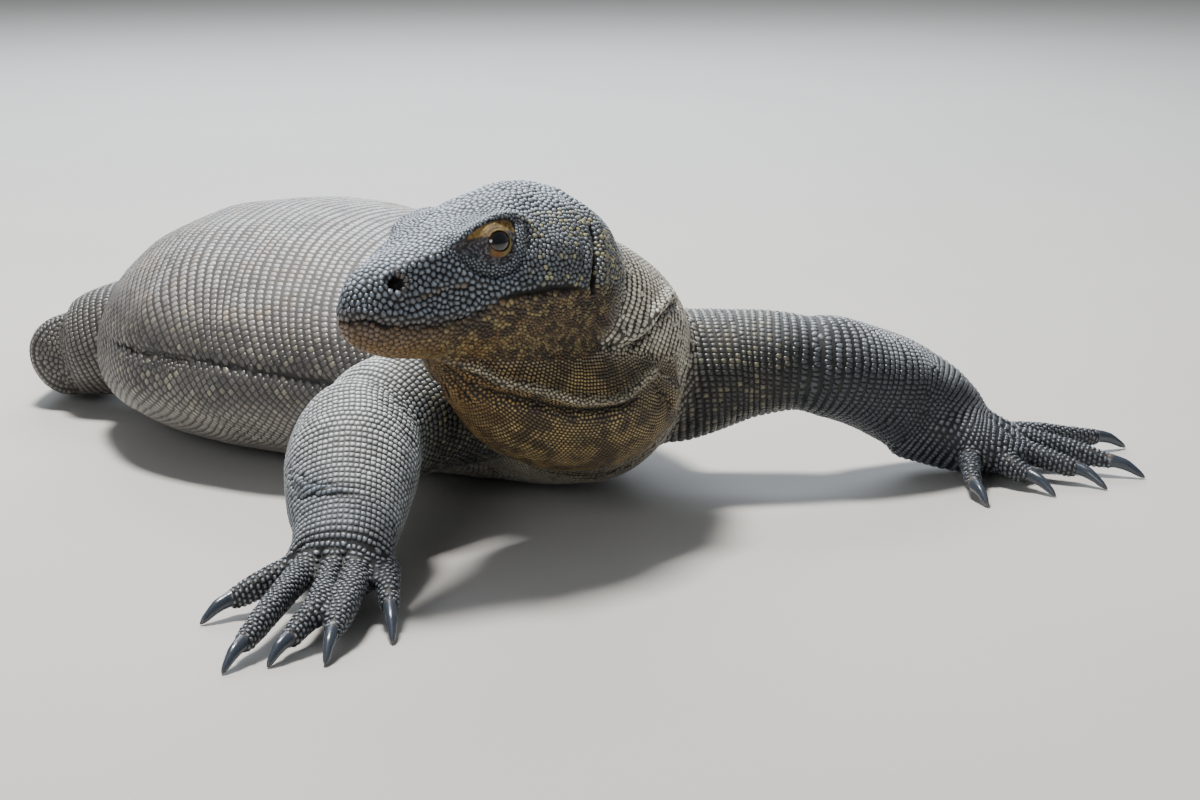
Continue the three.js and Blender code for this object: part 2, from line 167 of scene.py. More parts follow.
def head_turn():
    """Rotation from the head's own frame to the model's."""
    cy, sy = math.cos(HEAD_YAW), math.sin(HEAD_YAW)
    cp, sp = math.cos(HEAD_PITCH), math.sin(HEAD_PITCH)
    cr, sr = math.cos(HEAD_ROLL), math.sin(HEAD_ROLL)
    yaw = np.array([[cy, -sy, 0], [sy, cy, 0], [0, 0, 1]])
    pitch = np.array([[cp, 0, -sp], [0, 1, 0], [sp, 0, cp]])
    roll = np.array([[1, 0, 0], [0, cr, -sr], [0, sr, cr]])
    return yaw @ pitch @ roll


HEAD_TURN = head_turn()


def from_head(points):
    """Points of the head's own frame, in mm, to the plan's frame."""
    return np.asarray(points, float) @ HEAD_TURN.T + HEAD_AT


def to_head(points):
    """Points of the model, in metres, to the head's own frame in mm."""
    return (np.asarray(points) / MM - OFFSET - HEAD_AT) @ HEAD_TURN


def to_model(points):
    """Points of the plan, in mm, to the model in metres."""
    return (np.asarray(points, float) + OFFSET) * MM


# ---------- lofts
def unit(v):
    """Vectors at length one."""
    return v / np.maximum(norm(v, axis=-1, keepdims=True), 1e-9)


def arc_of(line):
    """Length along a line at each of its points."""
    return np.concatenate([[0], np.cumsum(norm(np.diff(line, axis=0), axis=1))])


def catmull(table, t):
    """Rows of a station table at positions t, counted in stations."""
    last = len(table) - 1
    i = np.clip(np.floor(t).astype(int), 0, last - 1)
    f = (t - i)[:, None]
    a, b, c, d = (table[np.clip(i + k, 0, last)] for k in (-1, 0, 1, 2))
    return b + 0.5 * f * (c - a + f * (2 * a - 5 * b + 4 * c - d + f * (3 * (b - c) + d - a)))


class Loft:
    """A closed tube through stations, with a width, a height above its axis and a depth below it."""

    def __init__(self, name, stations):
        self.name = name
        self.table = np.array(stations, float)
        self.last = len(stations) - 1
        self.t = np.linspace(0, self.last, 60 * self.last + 1)
        self.arc = arc_of(catmull(self.table, self.t)[:, :3])
        self.length = self.arc[-1]

    def at(self, s, angle, shrink=0.0):
        """Points at arc lengths s and angles round the axis, with the directions round and along the tube."""
        t = np.interp(s, self.arc, self.t)
        rows = catmull(self.table, t)
        ahead = catmull(self.table, np.minimum(self.last, t + 0.05))[:, :3]
        behind = catmull(self.table, np.maximum(0, t - 0.05))[:, :3]
        along = unit(ahead - behind)
        up = unit(np.array([0, 0, 1.0]) - along * along[:, 2:3])
        left = np.cross(up, along)
        sine, cosine = np.sin(angle)[:, None], np.cos(angle)[:, None]
        width, above, below = (rows[:, k, None] - shrink for k in (3, 4, 5))
        high = np.where(sine > 0, above, below)
        points = rows[:, :3] + left * width * cosine + up * high * sine
        around = unit(-left * width * sine + up * high * cosine)
        return points, around, along

    def mesh(self, sides, step, shrink):
        """Vertices and faces of the closed tube."""
        rings = max(3, int(self.length / step) + 1)
        s = np.repeat(np.linspace(0, self.length, rings), sides)
        angle = np.tile(np.arange(sides) * 2 * math.pi / sides, rings)
        points, _, _ = self.at(s, angle, shrink)
        middle = points.reshape(rings, sides, 3).mean(1)
        size = np.minimum(self.table[[0, -1], 3], self.table[[0, -1], 4]) * 0.35
        first = middle[0] - unit(middle[1] - middle[0]) * size[0]
        last = middle[-1] + unit(middle[-1] - middle[-2]) * size[1]
        return tube_faces(points, rings, sides, [first, last])


def ring_quads(rings, sides):
    """Faces between rings of points, each ring closed on itself."""
    r, k = np.meshgrid(np.arange(rings - 1), np.arange(sides), indexing="ij")
    a, b = r * sides + k, r * sides + (k + 1) % sides
    return np.stack([a, b, b + sides, a + sides], -1).reshape(-1, 4)


def tube_faces(points, rings, sides, caps):
    """Closes rings of points with a cap point at each end."""
    quads = ring_quads(rings, sides).tolist()
    first, last = rings * sides, rings * sides + 1
    k = np.arange(sides)
    start = np.stack([k, np.full(sides, first), (k + 1) % sides], -1).tolist()
    far_ring = (rings - 1) * sides
    end = np.stack([(k + 1) % sides, np.full(sides, last), k], -1) + [[far_ring, 0, far_ring]]
    return np.vstack([points, caps]), quads + start + end.tolist()


def closed_spline(outline, count):
    """Points at even spacing along a closed centripetal spline."""
    p = np.asarray(outline, float)
    p0, p1, p2, p3 = np.roll(p, 1, 0), p, np.roll(p, -1, 0), np.roll(p, -2, 0)
    d0, d1, d2 = (np.sqrt(norm(b - a, axis=1))[:, None] for a, b in ((p0, p1), (p1, p2), (p2, p3)))
    t1 = ((p1 - p0) / d0 - (p2 - p0) / (d0 + d1) + (p2 - p1) / d1) * d1
    t2 = ((p2 - p1) / d1 - (p3 - p1) / (d1 + d2) + (p3 - p2) / d2) * d1
    f = np.linspace(0, 1, 25)[:-1][None, :, None]
    a, b, u, v = (q[:, None, :] for q in (p1, p2, t1, t2))
    fine = a + u * f + (3 * (b - a) - 2 * u - v) * f**2 + (2 * (a - b) + u + v) * f**3
    fine = fine.reshape(-1, 2)
    loop = np.vstack([fine, fine[:1]])
    arc = arc_of(loop)
    at = np.linspace(0, arc[-1], count, endpoint=False)
    return np.stack([np.interp(at, arc, loop[:, k]) for k in (0, 1)], 1)


def head_mesh(shrink):
    """The head as rings across it, in the plan's frame."""
    table, sides, rings = np.array(HEAD, float), 96, 110
    points = []
    for row in catmull(table, np.linspace(0, len(HEAD) - 1, rings)):
        share, crown, *pairs, under = row
        half = [(0, crown), *zip(pairs[0::2], pairs[1::2]), (0, under)]
        outline = half + [(-y, z) for y, z in reversed(half[1:-1])]
        ring = closed_spline(outline, sides)[::-1]
        middle = np.array([0, (crown + under) / 2])
        out = ring - middle
        length = norm(out, axis=1, keepdims=True)
        ring = middle + out * (length - shrink) / length
        points.append(np.column_stack([np.full(sides, share * HEAD_LENGTH), ring]))
    caps = [(HEAD[0][0] * HEAD_LENGTH - 12, 0, 10), (SNOUT_TIP[0] * HEAD_LENGTH - shrink, 0, SNOUT_TIP[1])]
    points, faces = tube_faces(np.vstack(points), rings, sides, caps)
    return from_head(points), faces


def foot_frame(at, heading, inward):
    """Places a foot: x along its axis from the ankle, y towards the inner digit."""
    c, s = math.cos(math.radians(heading)), math.sin(math.radians(heading))
    return lambda x, y, z: [at[0] + c * x - s * y * inward, at[1] + s * x + c * y * inward, z]


def toe_lines(place):
    """Hind digits fanned from the ankle: knuckle, middle joint, last joint and claw tip of each."""
    lines = []
    for reach, splay, length in TOES:
        c, s = math.cos(math.radians(splay)), math.sin(math.radians(splay))
        steps = ((-8, 30), (length * 0.5, 23), (length, 13), (length + 30, 1))
        lines.append([place((reach + d) * c, (reach + d) * s, z) for d, z in steps])
    return lines


def digit_lines(foot):
    """The five digit lines of a foot."""
    pair, side = foot.split("_")
    if pair == "fore":
        return FINGERS[side]
    at, heading, _, _ = FEET[foot]
    return toe_lines(foot_frame(at, heading, 1 if side == "right" else -1))


def foot_lofts(foot):
    """The palm and the five digits of a foot."""
    at, heading, palm, r = FEET[foot]
    place = foot_frame(at, heading, 1 if foot.endswith("right") else -1)
    lines = [np.array(line, float) for line in digit_lines(foot)]
    first, middle, last = lines[0][0], lines[2][0], lines[4][0]
    across = norm(first - last) * 0.5
    centre = ((first + last) / 2 + middle) / 2
    wrist = np.array(place(0, 0, 44), float)

    def at_share(f, z):
        p = wrist + (centre - wrist) * f
        return [p[0], p[1], z]

    stations = [
        [*at_share(-0.55, 48), palm * 0.86, 27, 36],
        [*at_share(0, 44), palm * 1.04, 27, 39],
        [*at_share(0.5, 39), palm * 0.74 + across * 0.35, 24, 38],
        [*at_share(1, 32), across + 4, 17, 32],
        [*at_share(1.4, 25), across * 0.84, 10, 24],
    ]
    lofts = [Loft(f"{foot}_palm", stations)]
    root = np.array(at_share(0, 38))
    for k, (knuckle, mid, end, _) in enumerate(lines):
        stations = [
            [*(root + (knuckle - root) * 0.6), r, r, r * 1.2],
            [*knuckle, r * 1.24, r * 1.25, r * 1.5],
            [*mid, r * 1.08, r * 1.08, r * 1.5],
            [*(mid + (end - mid) * 0.6), r, r * 0.95, r * 1.35],
            [*(mid + (end - mid) * 1.06), r * 0.85, r * 0.8, r * 1.05],
        ]
        lofts.append(Loft(f"{foot}_digit_{k + 1}", stations))
    return lofts


def body_lofts():
    """Every loft of the body but the head."""
    throat = [[*from_head([[row[0] * HEAD_LENGTH, row[1], row[2]]])[0], *row[3:]] for row in THROAT]
    lofts = [Loft("spine", SPINE), Loft("throat", throat)]
    lofts += [Loft(name, stations) for name, stations in LIMBS.items()]
    for foot in FEET:
        lofts += foot_lofts(foot)
    return lofts


# ---------- mesh tools
def in_scene(name, data):
    """A new object in the scene."""
    piece = bpy.data.objects.new(name, data)
    bpy.context.scene.collection.objects.link(piece)
    return piece


def new_object(name, points, faces, smooth=True):
    """A mesh object in the scene."""
    mesh = bpy.data.meshes.new(name)
    mesh.from_pydata(np.asarray(points).tolist(), [], [list(f) for f in faces])
    mesh.update()
    if smooth:
        mesh.shade_smooth()
    return in_scene(name, mesh)


def joined(parts):
    """Points and faces of several parts as one."""
    faces, base = [], 0
    for points, part in parts:
        faces += [[i + base for i in face] for face in part]
        base += len(points)
    return np.vstack([points for points, _ in parts]), faces


def read(items, name, width, kind=np.float32):
    """One attribute of a mesh's items, a row for each item."""
    flat = np.empty(len(items) * width, dtype=kind)
    items.foreach_get(name, flat)
    return flat.reshape(-1, width)


def points_of(mesh):
    return read(mesh.vertices, "co", 3).astype(float)


def normals_of(mesh):
    return read(mesh.vertex_normals, "vector", 3).astype(float)


def edges_of(mesh):
    return read(mesh.edges, "vertices", 2, np.int32)


def set_points(mesh, points):
    mesh.vertices.foreach_set("co", np.ascontiguousarray(points, dtype=np.float32).ravel())
    mesh.update()


def smoothed(values, edges, rounds, amount):
    """Values at vertices, drawn towards the mean of their neighbours by an amount that may differ at each."""
    a, b = edges[:, 0], edges[:, 1]
    count = np.bincount(a, minlength=len(values)) + np.bincount(b, minlength=len(values))
    flat = values.reshape(len(values), -1).copy()
    amount = np.broadcast_to(np.asarray(amount, float).reshape(-1, 1), (len(values), 1))
    for _ in range(rounds):
        total = np.empty_like(flat)
        for k in range(flat.shape[1]):
            total[:, k] = np.bincount(a, flat[b, k], len(values)) + np.bincount(b, flat[a, k], len(values))
        flat += amount * (total / np.maximum(count, 1)[:, None] - flat)
    return flat.reshape(values.shape)


def step(low, high, x):
    """Smooth rise from 0 at low to 1 at high."""
    f = np.clip((np.asarray(x, float) - low) / (high - low), 0, 1)
    return f * f * (3 - 2 * f)


def fall(low, high, x):
    """Smooth fall from 1 at low to 0 at high."""
    return 1 - step(low, high, x)


def hump(x, middle, width):
    """Bell curve of height 1 about a middle."""
    return np.exp(-(((x - middle) / width) ** 2))


def noise(points, size, seed):
    """Smooth noise from 0 to 1 over points in metres, with patches about size metres across."""
    q = points / size
    cell = np.floor(q).astype(np.int64)
    f = q - cell
    f = f * f * (3 - 2 * f)
    total = np.zeros(len(points))
    for corner in range(8):
        at = np.array([corner & 1, corner >> 1 & 1, corner >> 2 & 1])
        c = cell + at
        h = (c[:, 0] * 73856093) ^ (c[:, 1] * 19349663) ^ (c[:, 2] * 83492791) ^ (seed * 2654435761)
        h = (h ^ (h >> 13)) * 1274126177 & 0xFFFFFFFF
        h = (h ^ (h >> 16)) * 2246822519 & 0xFFFFFFFF
        total += np.prod(np.where(at, f, 1 - f), axis=1) * (h & 0xFFFF) / 65535.0
    return total


def polyline(points, line):
    """Distance from each point to a polyline, and how far along it the nearest point lies, from 0 to 1."""
    line = np.asarray(line, float)
    best = np.full(len(points), np.inf)
    where = np.zeros(len(points))
    lengths, start = norm(np.diff(line, axis=0), axis=1), arc_of(line)
    for k, (a, b) in enumerate(zip(line[:-1], line[1:])):
        ab = b - a
        if not ab.any():
            continue
        f = np.clip(((points - a) @ ab) / (ab @ ab), 0, 1)
        d = norm(points - a - f[:, None] * ab, axis=1)
        near = d < best
        best[near] = d[near]
        where[near] = (start[k] + f[near] * lengths[k]) / start[-1]
    return best, where


# ---------- skin
class Body:
    """The lofts of the body and the finished skin, shared by the pieces that lie on it."""

    lofts = []
    owners = []  # loft name of each face of the plain lofts
    plain = None  # BVH tree of the plain lofts
    skin = None
    tree = None  # BVH tree of the skin
    points = None
    normals = None
    owner = None  # loft name of each skin vertex
    owner_of_face = None
    first_of_face = None  # first vertex of each face
    vertex_tree = None  # tree of the skin's vertices
    folds = None  # lines of the folds, laid on the skin
    moved = None  # how far each skin vertex moved when the folds were shaped
    weights = None  # share of each hide at each skin vertex


def regions(points):
    """The name of the loft nearest to each point."""
    return np.array([Body.owners[Body.plain.find_nearest(p)[2]] for p in points.tolist()])


def plain_lofts(shrink):
    """All lofts and the head as one mesh of closed tubes, in metres, and the loft of each face."""
    parts, owners = [], []
    for loft in Body.lofts:
        # Sides, spacing of the rings in mm and inset: finer on the digits.
        grain = (20, 4, shrink * 0.4) if "digit" in loft.name else (56, 9, shrink)
        points, faces = loft.mesh(*grain)
        parts.append((to_model(points), faces))
        owners += [loft.name] * len(faces)
    points, faces = head_mesh(shrink)
    parts.append((to_model(points), faces))
    owners += ["head"] * len(faces)
    return *joined(parts), owners


def apply_modifier(piece, kind, **settings):
    """Changes a piece's mesh with one of the modifiers."""
    change = piece.modifiers.new(kind.title(), kind)
    for key, value in settings.items():
        setattr(change, key, value)
    graph = bpy.context.evaluated_depsgraph_get()
    mesh = bpy.data.meshes.new_from_object(piece.evaluated_get(graph))
    piece.modifiers.clear()
    piece.data = mesh


# Smoothing of the joins: share that reaches the clefts between digits, depth of a crease that is smoothed
# in full, and the distances from a wrist or ankle over which it is smoothed once more.
CLEFT_SHARE, FULL_CREASE = 0.12, 0.16 * MM
WRIST_NEAR, WRIST_FAR, WRIST_HEIGHT = 30 * MM, 58 * MM, 44


def fillet(mesh, rounds):
    """Rounds off the creases where one loft runs into another, and leaves the clefts between digits."""
    points, edges = points_of(mesh), edges_of(mesh)
    soft = np.where(np.char.find(regions(points), "digit") >= 0, CLEFT_SHARE, 1.0)
    for _ in range(rounds):
        mean = smoothed(points, edges, 1, 1.0)
        set_points(mesh, points)
        inward = ((mean - points) * normals_of(mesh)).sum(1)
        crease = smoothed(np.clip(inward / FULL_CREASE, 0, 1), edges, 4, 0.6)
        points = smoothed(points, edges, 6, 0.5 * soft * np.clip(crease * 2.2, 0, 1))
    points = smoothed(points, edges, 2, 0.35)
    ankles = to_model(np.array([[*foot[0], WRIST_HEIGHT] for foot in FEET.values()]))
    near = norm(points[:, None] - ankles[None], axis=2).min(1)
    set_points(mesh, smoothed(points, edges, 12, 0.5 * soft * fall(WRIST_NEAR, WRIST_FAR, near)))


def refine(piece, chosen):
    """Splits the edges inside the chosen vertices once."""
    work = bmesh.new()
    work.from_mesh(piece.data)
    work.verts.ensure_lookup_table()
    mask = set(np.flatnonzero(chosen).tolist())
    edges = [e for e in work.edges if e.verts[0].index in mask and e.verts[1].index in mask]
    bmesh.ops.subdivide_edges(work, edges=edges, cuts=1, use_grid_fill=True)
    bmesh.ops.triangulate(work, faces=[f for f in work.faces if len(f.verts) > 4])
    work.to_mesh(piece.data)
    work.free()


def thin_body(piece, share):
    """Fewer, larger faces on the trunk, tail and upper limbs, where the scales hide them."""
    points = points_of(piece.data)
    owner = regions(points)
    plain = owner == "spine"
    for name in ("thigh", "upper_arm", "shank"):
        plain |= np.char.find(owner, name) >= 0
    plain &= norm(to_head(points) - HEAD_MIDDLE, axis=1) > HEAD_REACH
    group = piece.vertex_groups.new(name="body")
    group.add(np.flatnonzero(plain).tolist(), 1.0, "REPLACE")
    apply_modifier(piece, "DECIMATE", vertex_group="body", ratio=1 - plain.mean() * (1 - share))
    piece.vertex_groups.clear()


# Point in the head's own frame, in mm, and the distance from it that keeps the fine mesh.
HEAD_MIDDLE, HEAD_REACH = (20, 0, 0), 190
# Share of the faces kept on the plain parts of the body.
BODY_SHARE = 0.22
# How high above the floor the skin ends, in mm, so that it rests inside the frame.
SKIN_FLOOR = 0.6
# Distance from a nostril, and half width of a fold, below which the mesh is made finer, in mm.
FINE_NOSTRIL, FINE_FOLD = 13, 5


def build_skin(settings):
    """Melts the lofts into one skin, refines the face, and shapes the folds."""
    Body.lofts = body_lofts()
    depth = settings.coat_depth / MM
    points, faces, Body.owners = plain_lofts(depth)
    Body.plain = BVHTree.FromPolygons([Vector(p) for p in points], faces)
    piece = new_object("skin", points, faces)
    Body.skin = piece
    apply_modifier(piece, "REMESH", mode="VOXEL", voxel_size=settings.skin_voxel)
    fillet(piece.data, 5)
    thin_body(piece, BODY_SHARE)
    mesh = piece.data
    # The face has a finer mesh than the body, and is smoothed a little.
    h = to_head(points_of(mesh))
    refine(piece, (h[:, 0] > -24) & (h[:, 2] > -38) & (np.abs(h[:, 1]) < 85))
    points = points_of(mesh)
    h = to_head(points)
    on_face = (h[:, 0] > -40) & (h[:, 2] > -60)
    set_points(mesh, smoothed(points, edges_of(mesh), 4, 0.5 * on_face))
    Body.folds = lay_folds()
    # The nostrils and the folds narrower than FINE_FOLD need a finer mesh still.
    points = points_of(mesh)
    h = to_head(points)
    h[:, 1] = np.abs(h[:, 1])
    detail = norm(h - np.array(NOSTRIL), axis=1) < FINE_NOSTRIL
    for _, line, _, width, _, _ in Body.folds:
        if width < FINE_FOLD:
            close, bell, _ = fold_reach(points, line, width)
            detail[close] |= bell > 0.25
    refine(piece, detail)
    mesh.update()
    rest = points_of(mesh)
    shape_skin(mesh)
    points = points_of(mesh)
    points[:, 2] = np.maximum(points[:, 2], SKIN_FLOOR * MM)
    set_points(mesh, points)
    mesh.shade_smooth()
    Body.moved = points - rest
    Body.points, Body.normals = points, normals_of(mesh)
    Body.owner = regions(points)
    Body.vertex_tree = tree_of(points)
    faces = [tuple(f.vertices) for f in mesh.polygons]
    Body.first_of_face = np.array([f[0] for f in faces])
    Body.owner_of_face = Body.owner[Body.first_of_face]
    Body.tree = BVHTree.FromPolygons([Vector(p) for p in points], faces)
    hides = hide_index(kinds_of(Body.owner, points))
    Body.weights = smoothed(np.eye(len(HIDES))[hides], edges_of(mesh), 24, 0.6)
    return piece


def eye_axes(side):
    """Eye centre and outward, forward and upward axes in the head's own frame; side is 1 for the left eye."""
    flip = np.array([1, side, 1])
    out = EYE_OUT * flip
    ahead = unit(np.array([1.0, 0, 0.05]) - out * (np.array([1.0, 0, 0.05]) @ out))
    up = np.cross(out, ahead) * -side
    return np.array(EYE_AT) * flip, out, ahead, up if up[2] > 0 else -up


# The bare skin round an eye, seen along the eye's axis: ahead of and above its centre, in mm.
EYE_FIELD = [
    (35, -2), (22, 7), (10, 13), (0, 16), (-10, 17), (-17, 16), (-19, 11), (-18.5, 3),
    (-17, -5), (-13, -11), (-7, -15), (0, -16.5), (8, -15.5), (16, -12), (24, -8),
]  # fmt: skip


def field_reach(turn):
    """Distance from the eye's centre to the edge of its bare skin, at angles round it."""
    edge = closed_spline(EYE_FIELD, 360)
    at = np.arctan2(edge[:, 1], edge[:, 0])
    order = np.argsort(at)
    at, reach = at[order], norm(edge, axis=1)[order]
    return np.interp(turn, np.concatenate([at - 2 * math.pi, at, at + 2 * math.pi]), np.tile(reach, 3))


def eye_plane(h, side):
    """Places about an eye: along its axis, ahead, above, and share of the way to the field's edge."""
    centre, out, ahead, up = eye_axes(side)
    d = h - centre
    o, x, y = d @ out, d @ ahead, d @ up
    return o, x, y, np.hypot(x, y) / field_reach(np.arctan2(y, x))


# Folds of the head and throat: height in mm (a groove where it is negative), half width in mm, a colour and
# its strength (painted shade in the dark grooves, pits, mouth line and ears, painted highlight on the pale
# crests and knob, the skin's own colour on the snout crease and behind the ear), and points in the head's own
# frame on the left side, mirrored to the right.
HEAD_FOLDS = {
    "brow": (3.8, 3.8, None, 0, [(122, 34, 50), (115, 36, 58), (106, 38, 62), (96, 40, 66), (84, 41, 69),
        (73, 43, 70), (64, 45, 68), (58, 49, 62)]),
    "canthus": (1.8, 5.0, None, 0, [(124, 33, 50), (136, 30, 45), (148, 25, 41), (159, 20, 37),
        (170, 15, 34)]),
    "hollow before the eye": (-1.7, 6.0, None, 0, [(128, 37, 36), (140, 33, 32), (152, 29, 29),
        (162, 27, 24)]),
    "snout crease": (-1.3, 1.8, 0x75624C, 0.8, [(170, 25, 13), (156, 29, 14), (141, 34, 17),
        (125, 40, 20), (111, 46, 21)]),
    "pouch": (-2.6, 2.6, 0x16151A, 0.7, [(124, 35, 46), (120, 38, 38), (114, 41, 31), (106, 45, 27),
        (96, 49, 25), (86, 53, 27), (79, 56, 32), (73, 56, 40)]),
    "pouch rim": (1.3, 3.0, None, 0, [(122, 40, 30), (110, 46, 23), (97, 51, 20), (84, 55, 22),
        (74, 58, 30)]),
    "fold behind the eye": (-2.2, 3.0, 0x15161A, 0.6, [(63, 48, 60), (64, 52, 52), (69, 55, 43)]),
    "temple": (2.6, 13.0, None, 0, [(52, 55, 47), (34, 59, 42), (18, 62, 36)]),
    "upper lip": (1.5, 3.6, None, 0, [(207, 3, 4), (200, 13, 6), (190, 19, 4), (165, 29, 0),
        (138, 36, -1), (114, 44, 5), (90, 53, 16), (60, 63, 21), (30, 69, 19)]),
    "mouth": (-3.6, 1.5, 0x0C0807, 1, [(209, 0, -3), (205, 6, -2), (200, 11, 0), (193, 16, -1),
        (186, 20, -4), (178, 24, -6)]),
    "mouth side": (-1.6, 1.6, 0x1A120D, 0.8, [(178, 24, -6), (163, 29, -6), (138, 35, -7), (115, 43, -2),
        (100, 48, 6)]),
    "mouth corner": (-2.6, 3.0, 0x2A150D, 1, [(96, 49, 8), (86, 54, 12), (70, 58, 13), (55, 63, 15),
        (36, 66, 15), (24, 68, 12)]),
    "corner lip": (1.5, 2.6, None, 0, [(92, 50, 3), (70, 59, 8), (48, 65, 9), (28, 69, 7)]),
    "lower lip": (0.9, 4.0, None, 0, [(204, 8, -9), (192, 18, -10), (163, 28, -14), (138, 34, -15),
        (112, 42, -11)]),
    "ear": (-6.0, 2.8, 0x040404, 1, [(-5, 51, 56), (-4, 56, 46), (2, 62, 35), (7, 66, 25), (11, 67, 15),
        (12, 67, 10)]),
    "ear pit": (-6.0, 4.0, 0x030303, 1, [(5, 64, 30), (10, 67, 18), (12, 67, 11)]),
    "ear flap": (1.8, 3.6, None, 0, [(4, 56, 52), (10, 62, 40), (15, 66, 29), (19, 69, 17)]),
    "behind the ear": (2.6, 5.0, 0x6B6440, 0.4, [(-14, 50, 54), (-10, 58, 40), (-4, 64, 26),
        (1, 68, 12)]),
    "nape": (1.6, 6.0, None, 0, [(-6, 10, 92), (-10, 30, 84), (-18, 46, 68), (-22, 54, 50)]),
    "behind the jaw": (-2.6, 5.0, None, 0, [(12, 70, 6), (4, 68, -8), (-6, 60, -24), (-14, 58, -40)]),
    "throat crest": (6.4, 4.4, 0xC0B79E, 0.8, [(117, 10, -35), (103, 17, -40), (91, 25, -44),
        (77, 33, -55), (65, 41, -58), (50, 48, -63), (35, 55, -69), (22, 58, -73), (0, 64, -75),
        (-21, 66, -75), (-34, 67, -69), (-52, 64, -62), (-73, 57, -55)]),
    "throat groove": (-5.4, 3.8, 0x140C04, 1, [(93, 18, -53), (80, 26, -63), (67, 35, -67), (55, 43, -71),
        (33, 53, -78), (8, 61, -82), (-16, 65, -82), (-39, 66, -77)]),
    "chin fold 1": (2.4, 2.8, 0xA9854A, 0.5, [(112, 2, -38), (102, 6, -48), (89, 13, -62),
        (76, 22, -74)]),
    "chin fold 2": (2.2, 2.6, 0xA9854A, 0.5, [(111, 10, -37), (97, 17, -49), (81, 26, -58),
        (68, 34, -64)]),
    "chin fold 3": (2.0, 3.0, 0x9C7A44, 0.5, [(110, 2, -42), (94, 2, -58), (82, 4, -74)]),
    "chin groove 1": (-2.2, 2.4, 0x22130A, 0.8, [(108, 6, -42), (95, 12, -54), (82, 20, -66)]),
    "chin groove 2": (-1.8, 2.2, 0x22130A, 0.8, [(106, 14, -42), (92, 22, -49), (76, 31, -58)]),
    "chin groove 3": (-1.8, 2.4, 0x22130A, 0.7, [(108, 1, -45), (96, 7, -56), (84, 11, -72)]),
    "neck crest": (6.4, 4.4, 0xD2CDBE, 0.9, [(-118, 40, -2), (-98, 46, -6), (-70, 57, -14),
        (-59, 58, -23), (-44, 60, -29), (-30, 59, -29)]),
    "neck knob": (4.0, 5.0, 0xD0CABA, 0.7, [(-32, 59, -28), (-25, 59, -26)]),
    "neck groove": (-5.0, 4.0, 0x2E271D, 0.8, [(-132, 34, -12), (-94, 50, -14), (-73, 57, -23),
        (-64, 59, -32), (-50, 59, -38), (-35, 58, -38)]),
    "neck pit": (-4.0, 4.0, 0x1F180F, 0.9, [(-22, 58, -34), (-26, 58, -38)]),
    "collar crest": (3.6, 4.0, 0xB5AD98, 0.6, [(-45, 65, -63), (-70, 60, -61), (-87, 59, -71),
        (-99, 56, -82)]),
    "collar groove": (-3.2, 4.5, 0x2A2218, 0.6, [(-62, 62, -72), (-78, 60, -78), (-88, 60, -90)]),
    "shoulder groove": (-4.0, 6.0, 0x1E1912, 0.6, [(-150, 22, -50), (-148, 26, -64), (-142, 30, -86),
        (-100, 57, -94)]),
}  # fmt: skip
# Folds of the body, in the plan's frame, with the same columns: the dark colours are painted shade in the
# flank crease, the wrist and elbow folds and the clefts between the digits; the blue-grey on the wrist roll
# is the skin's own colour.
BODY_FOLDS = {
    "flank crease": (-5.0, 4.5, 0x33302C, 0.7, [(-402, -168, 90), (-391, -195, 96), (-345, -216, 101),
        (-302, -225, 103), (-240, -226, 105), (-190, -217, 104), (-152, -209, 101), (-100, -188, 96)]),
    "flank roll": (3.0, 22.0, None, 0, [(-396, -176, 62), (-345, -216, 66), (-300, -230, 68),
        (-240, -232, 68), (-190, -222, 68)]),
    "wrist fold 1": (-1.4, 2.2, 0x0E0F11, 0.8, [(-6, -380, 88), (14, -396, 80), (36, -405, 69),
        (63, -402, 75), (86, -385, 73)]),
    "wrist fold 2": (-1.4, 2.2, 0x0E0F11, 0.8, [(16, -394, 88), (40, -400, 82), (64, -394, 82),
        (84, -376, 80)]),
    "wrist roll": (1.2, 4.0, 0x5F6D7C, 0.75, [(26, -398, 80), (48, -400, 78), (70, -394, 78)]),
    "elbow fold": (-1.6, 5.0, 0x1C1A16, 0.5, [(17, -301, 127), (43, -302, 111), (62, -306, 88)]),
    "right cleft 1": (-2.6, 3.0, 0x060708, 0.85, [(98, -424, 48), (106, -434, 42), (122, -462, 30)]),
    "right cleft 2": (-2.6, 3.0, 0x060708, 0.85, [(84, -430, 48), (88, -441, 42), (106, -474, 30)]),
    "right cleft 3": (-2.0, 2.8, 0x060708, 0.8, [(70, -429, 46), (66, -438, 40), (66, -452, 30)]),
    "left cleft 1": (-2.2, 2.8, 0x060708, 0.8, [(254, 196, 46), (272, 201, 38), (292, 198, 28)]),
    "left cleft 2": (-2.2, 2.8, 0x060708, 0.8, [(254, 212, 46), (273, 223, 38), (294, 230, 28)]),
}  # fmt: skip
# Left nostril in the head's own frame, with its radius and depth, in mm.
NOSTRIL, NOSTRIL_REACH, NOSTRIL_DEPTH = (173, 20.5, 24.5), 5.4, 9.0


def lay_folds():
    """Lays every fold's line on the skin, in metres, with its height, half width, colour and strength."""
    mesh = Body.skin.data
    tree = BVHTree.FromPolygons([Vector(p) for p in points_of(mesh)], [f.vertices for f in mesh.polygons])
    lines = [
        (name, to_model(from_head(np.array(line) * [1, side, 1])), *rest)
        for name, (*rest, line) in HEAD_FOLDS.items()
        for side in (1, -1)
    ]
    lines += [(name, to_model(line), *rest) for name, (*rest, line) in BODY_FOLDS.items()]
    laid = []
    for name, line, *rest in lines:
        arc = arc_of(line)
        at = np.linspace(0, arc[-1], max(2, int(arc[-1] / (5 * MM))))
        line = np.stack([np.interp(at, arc, line[:, k]) for k in range(3)], 1)
        line = np.array([tree.find_nearest(p)[0] for p in line.tolist()])
        laid.append((name, line, *rest))
    return laid


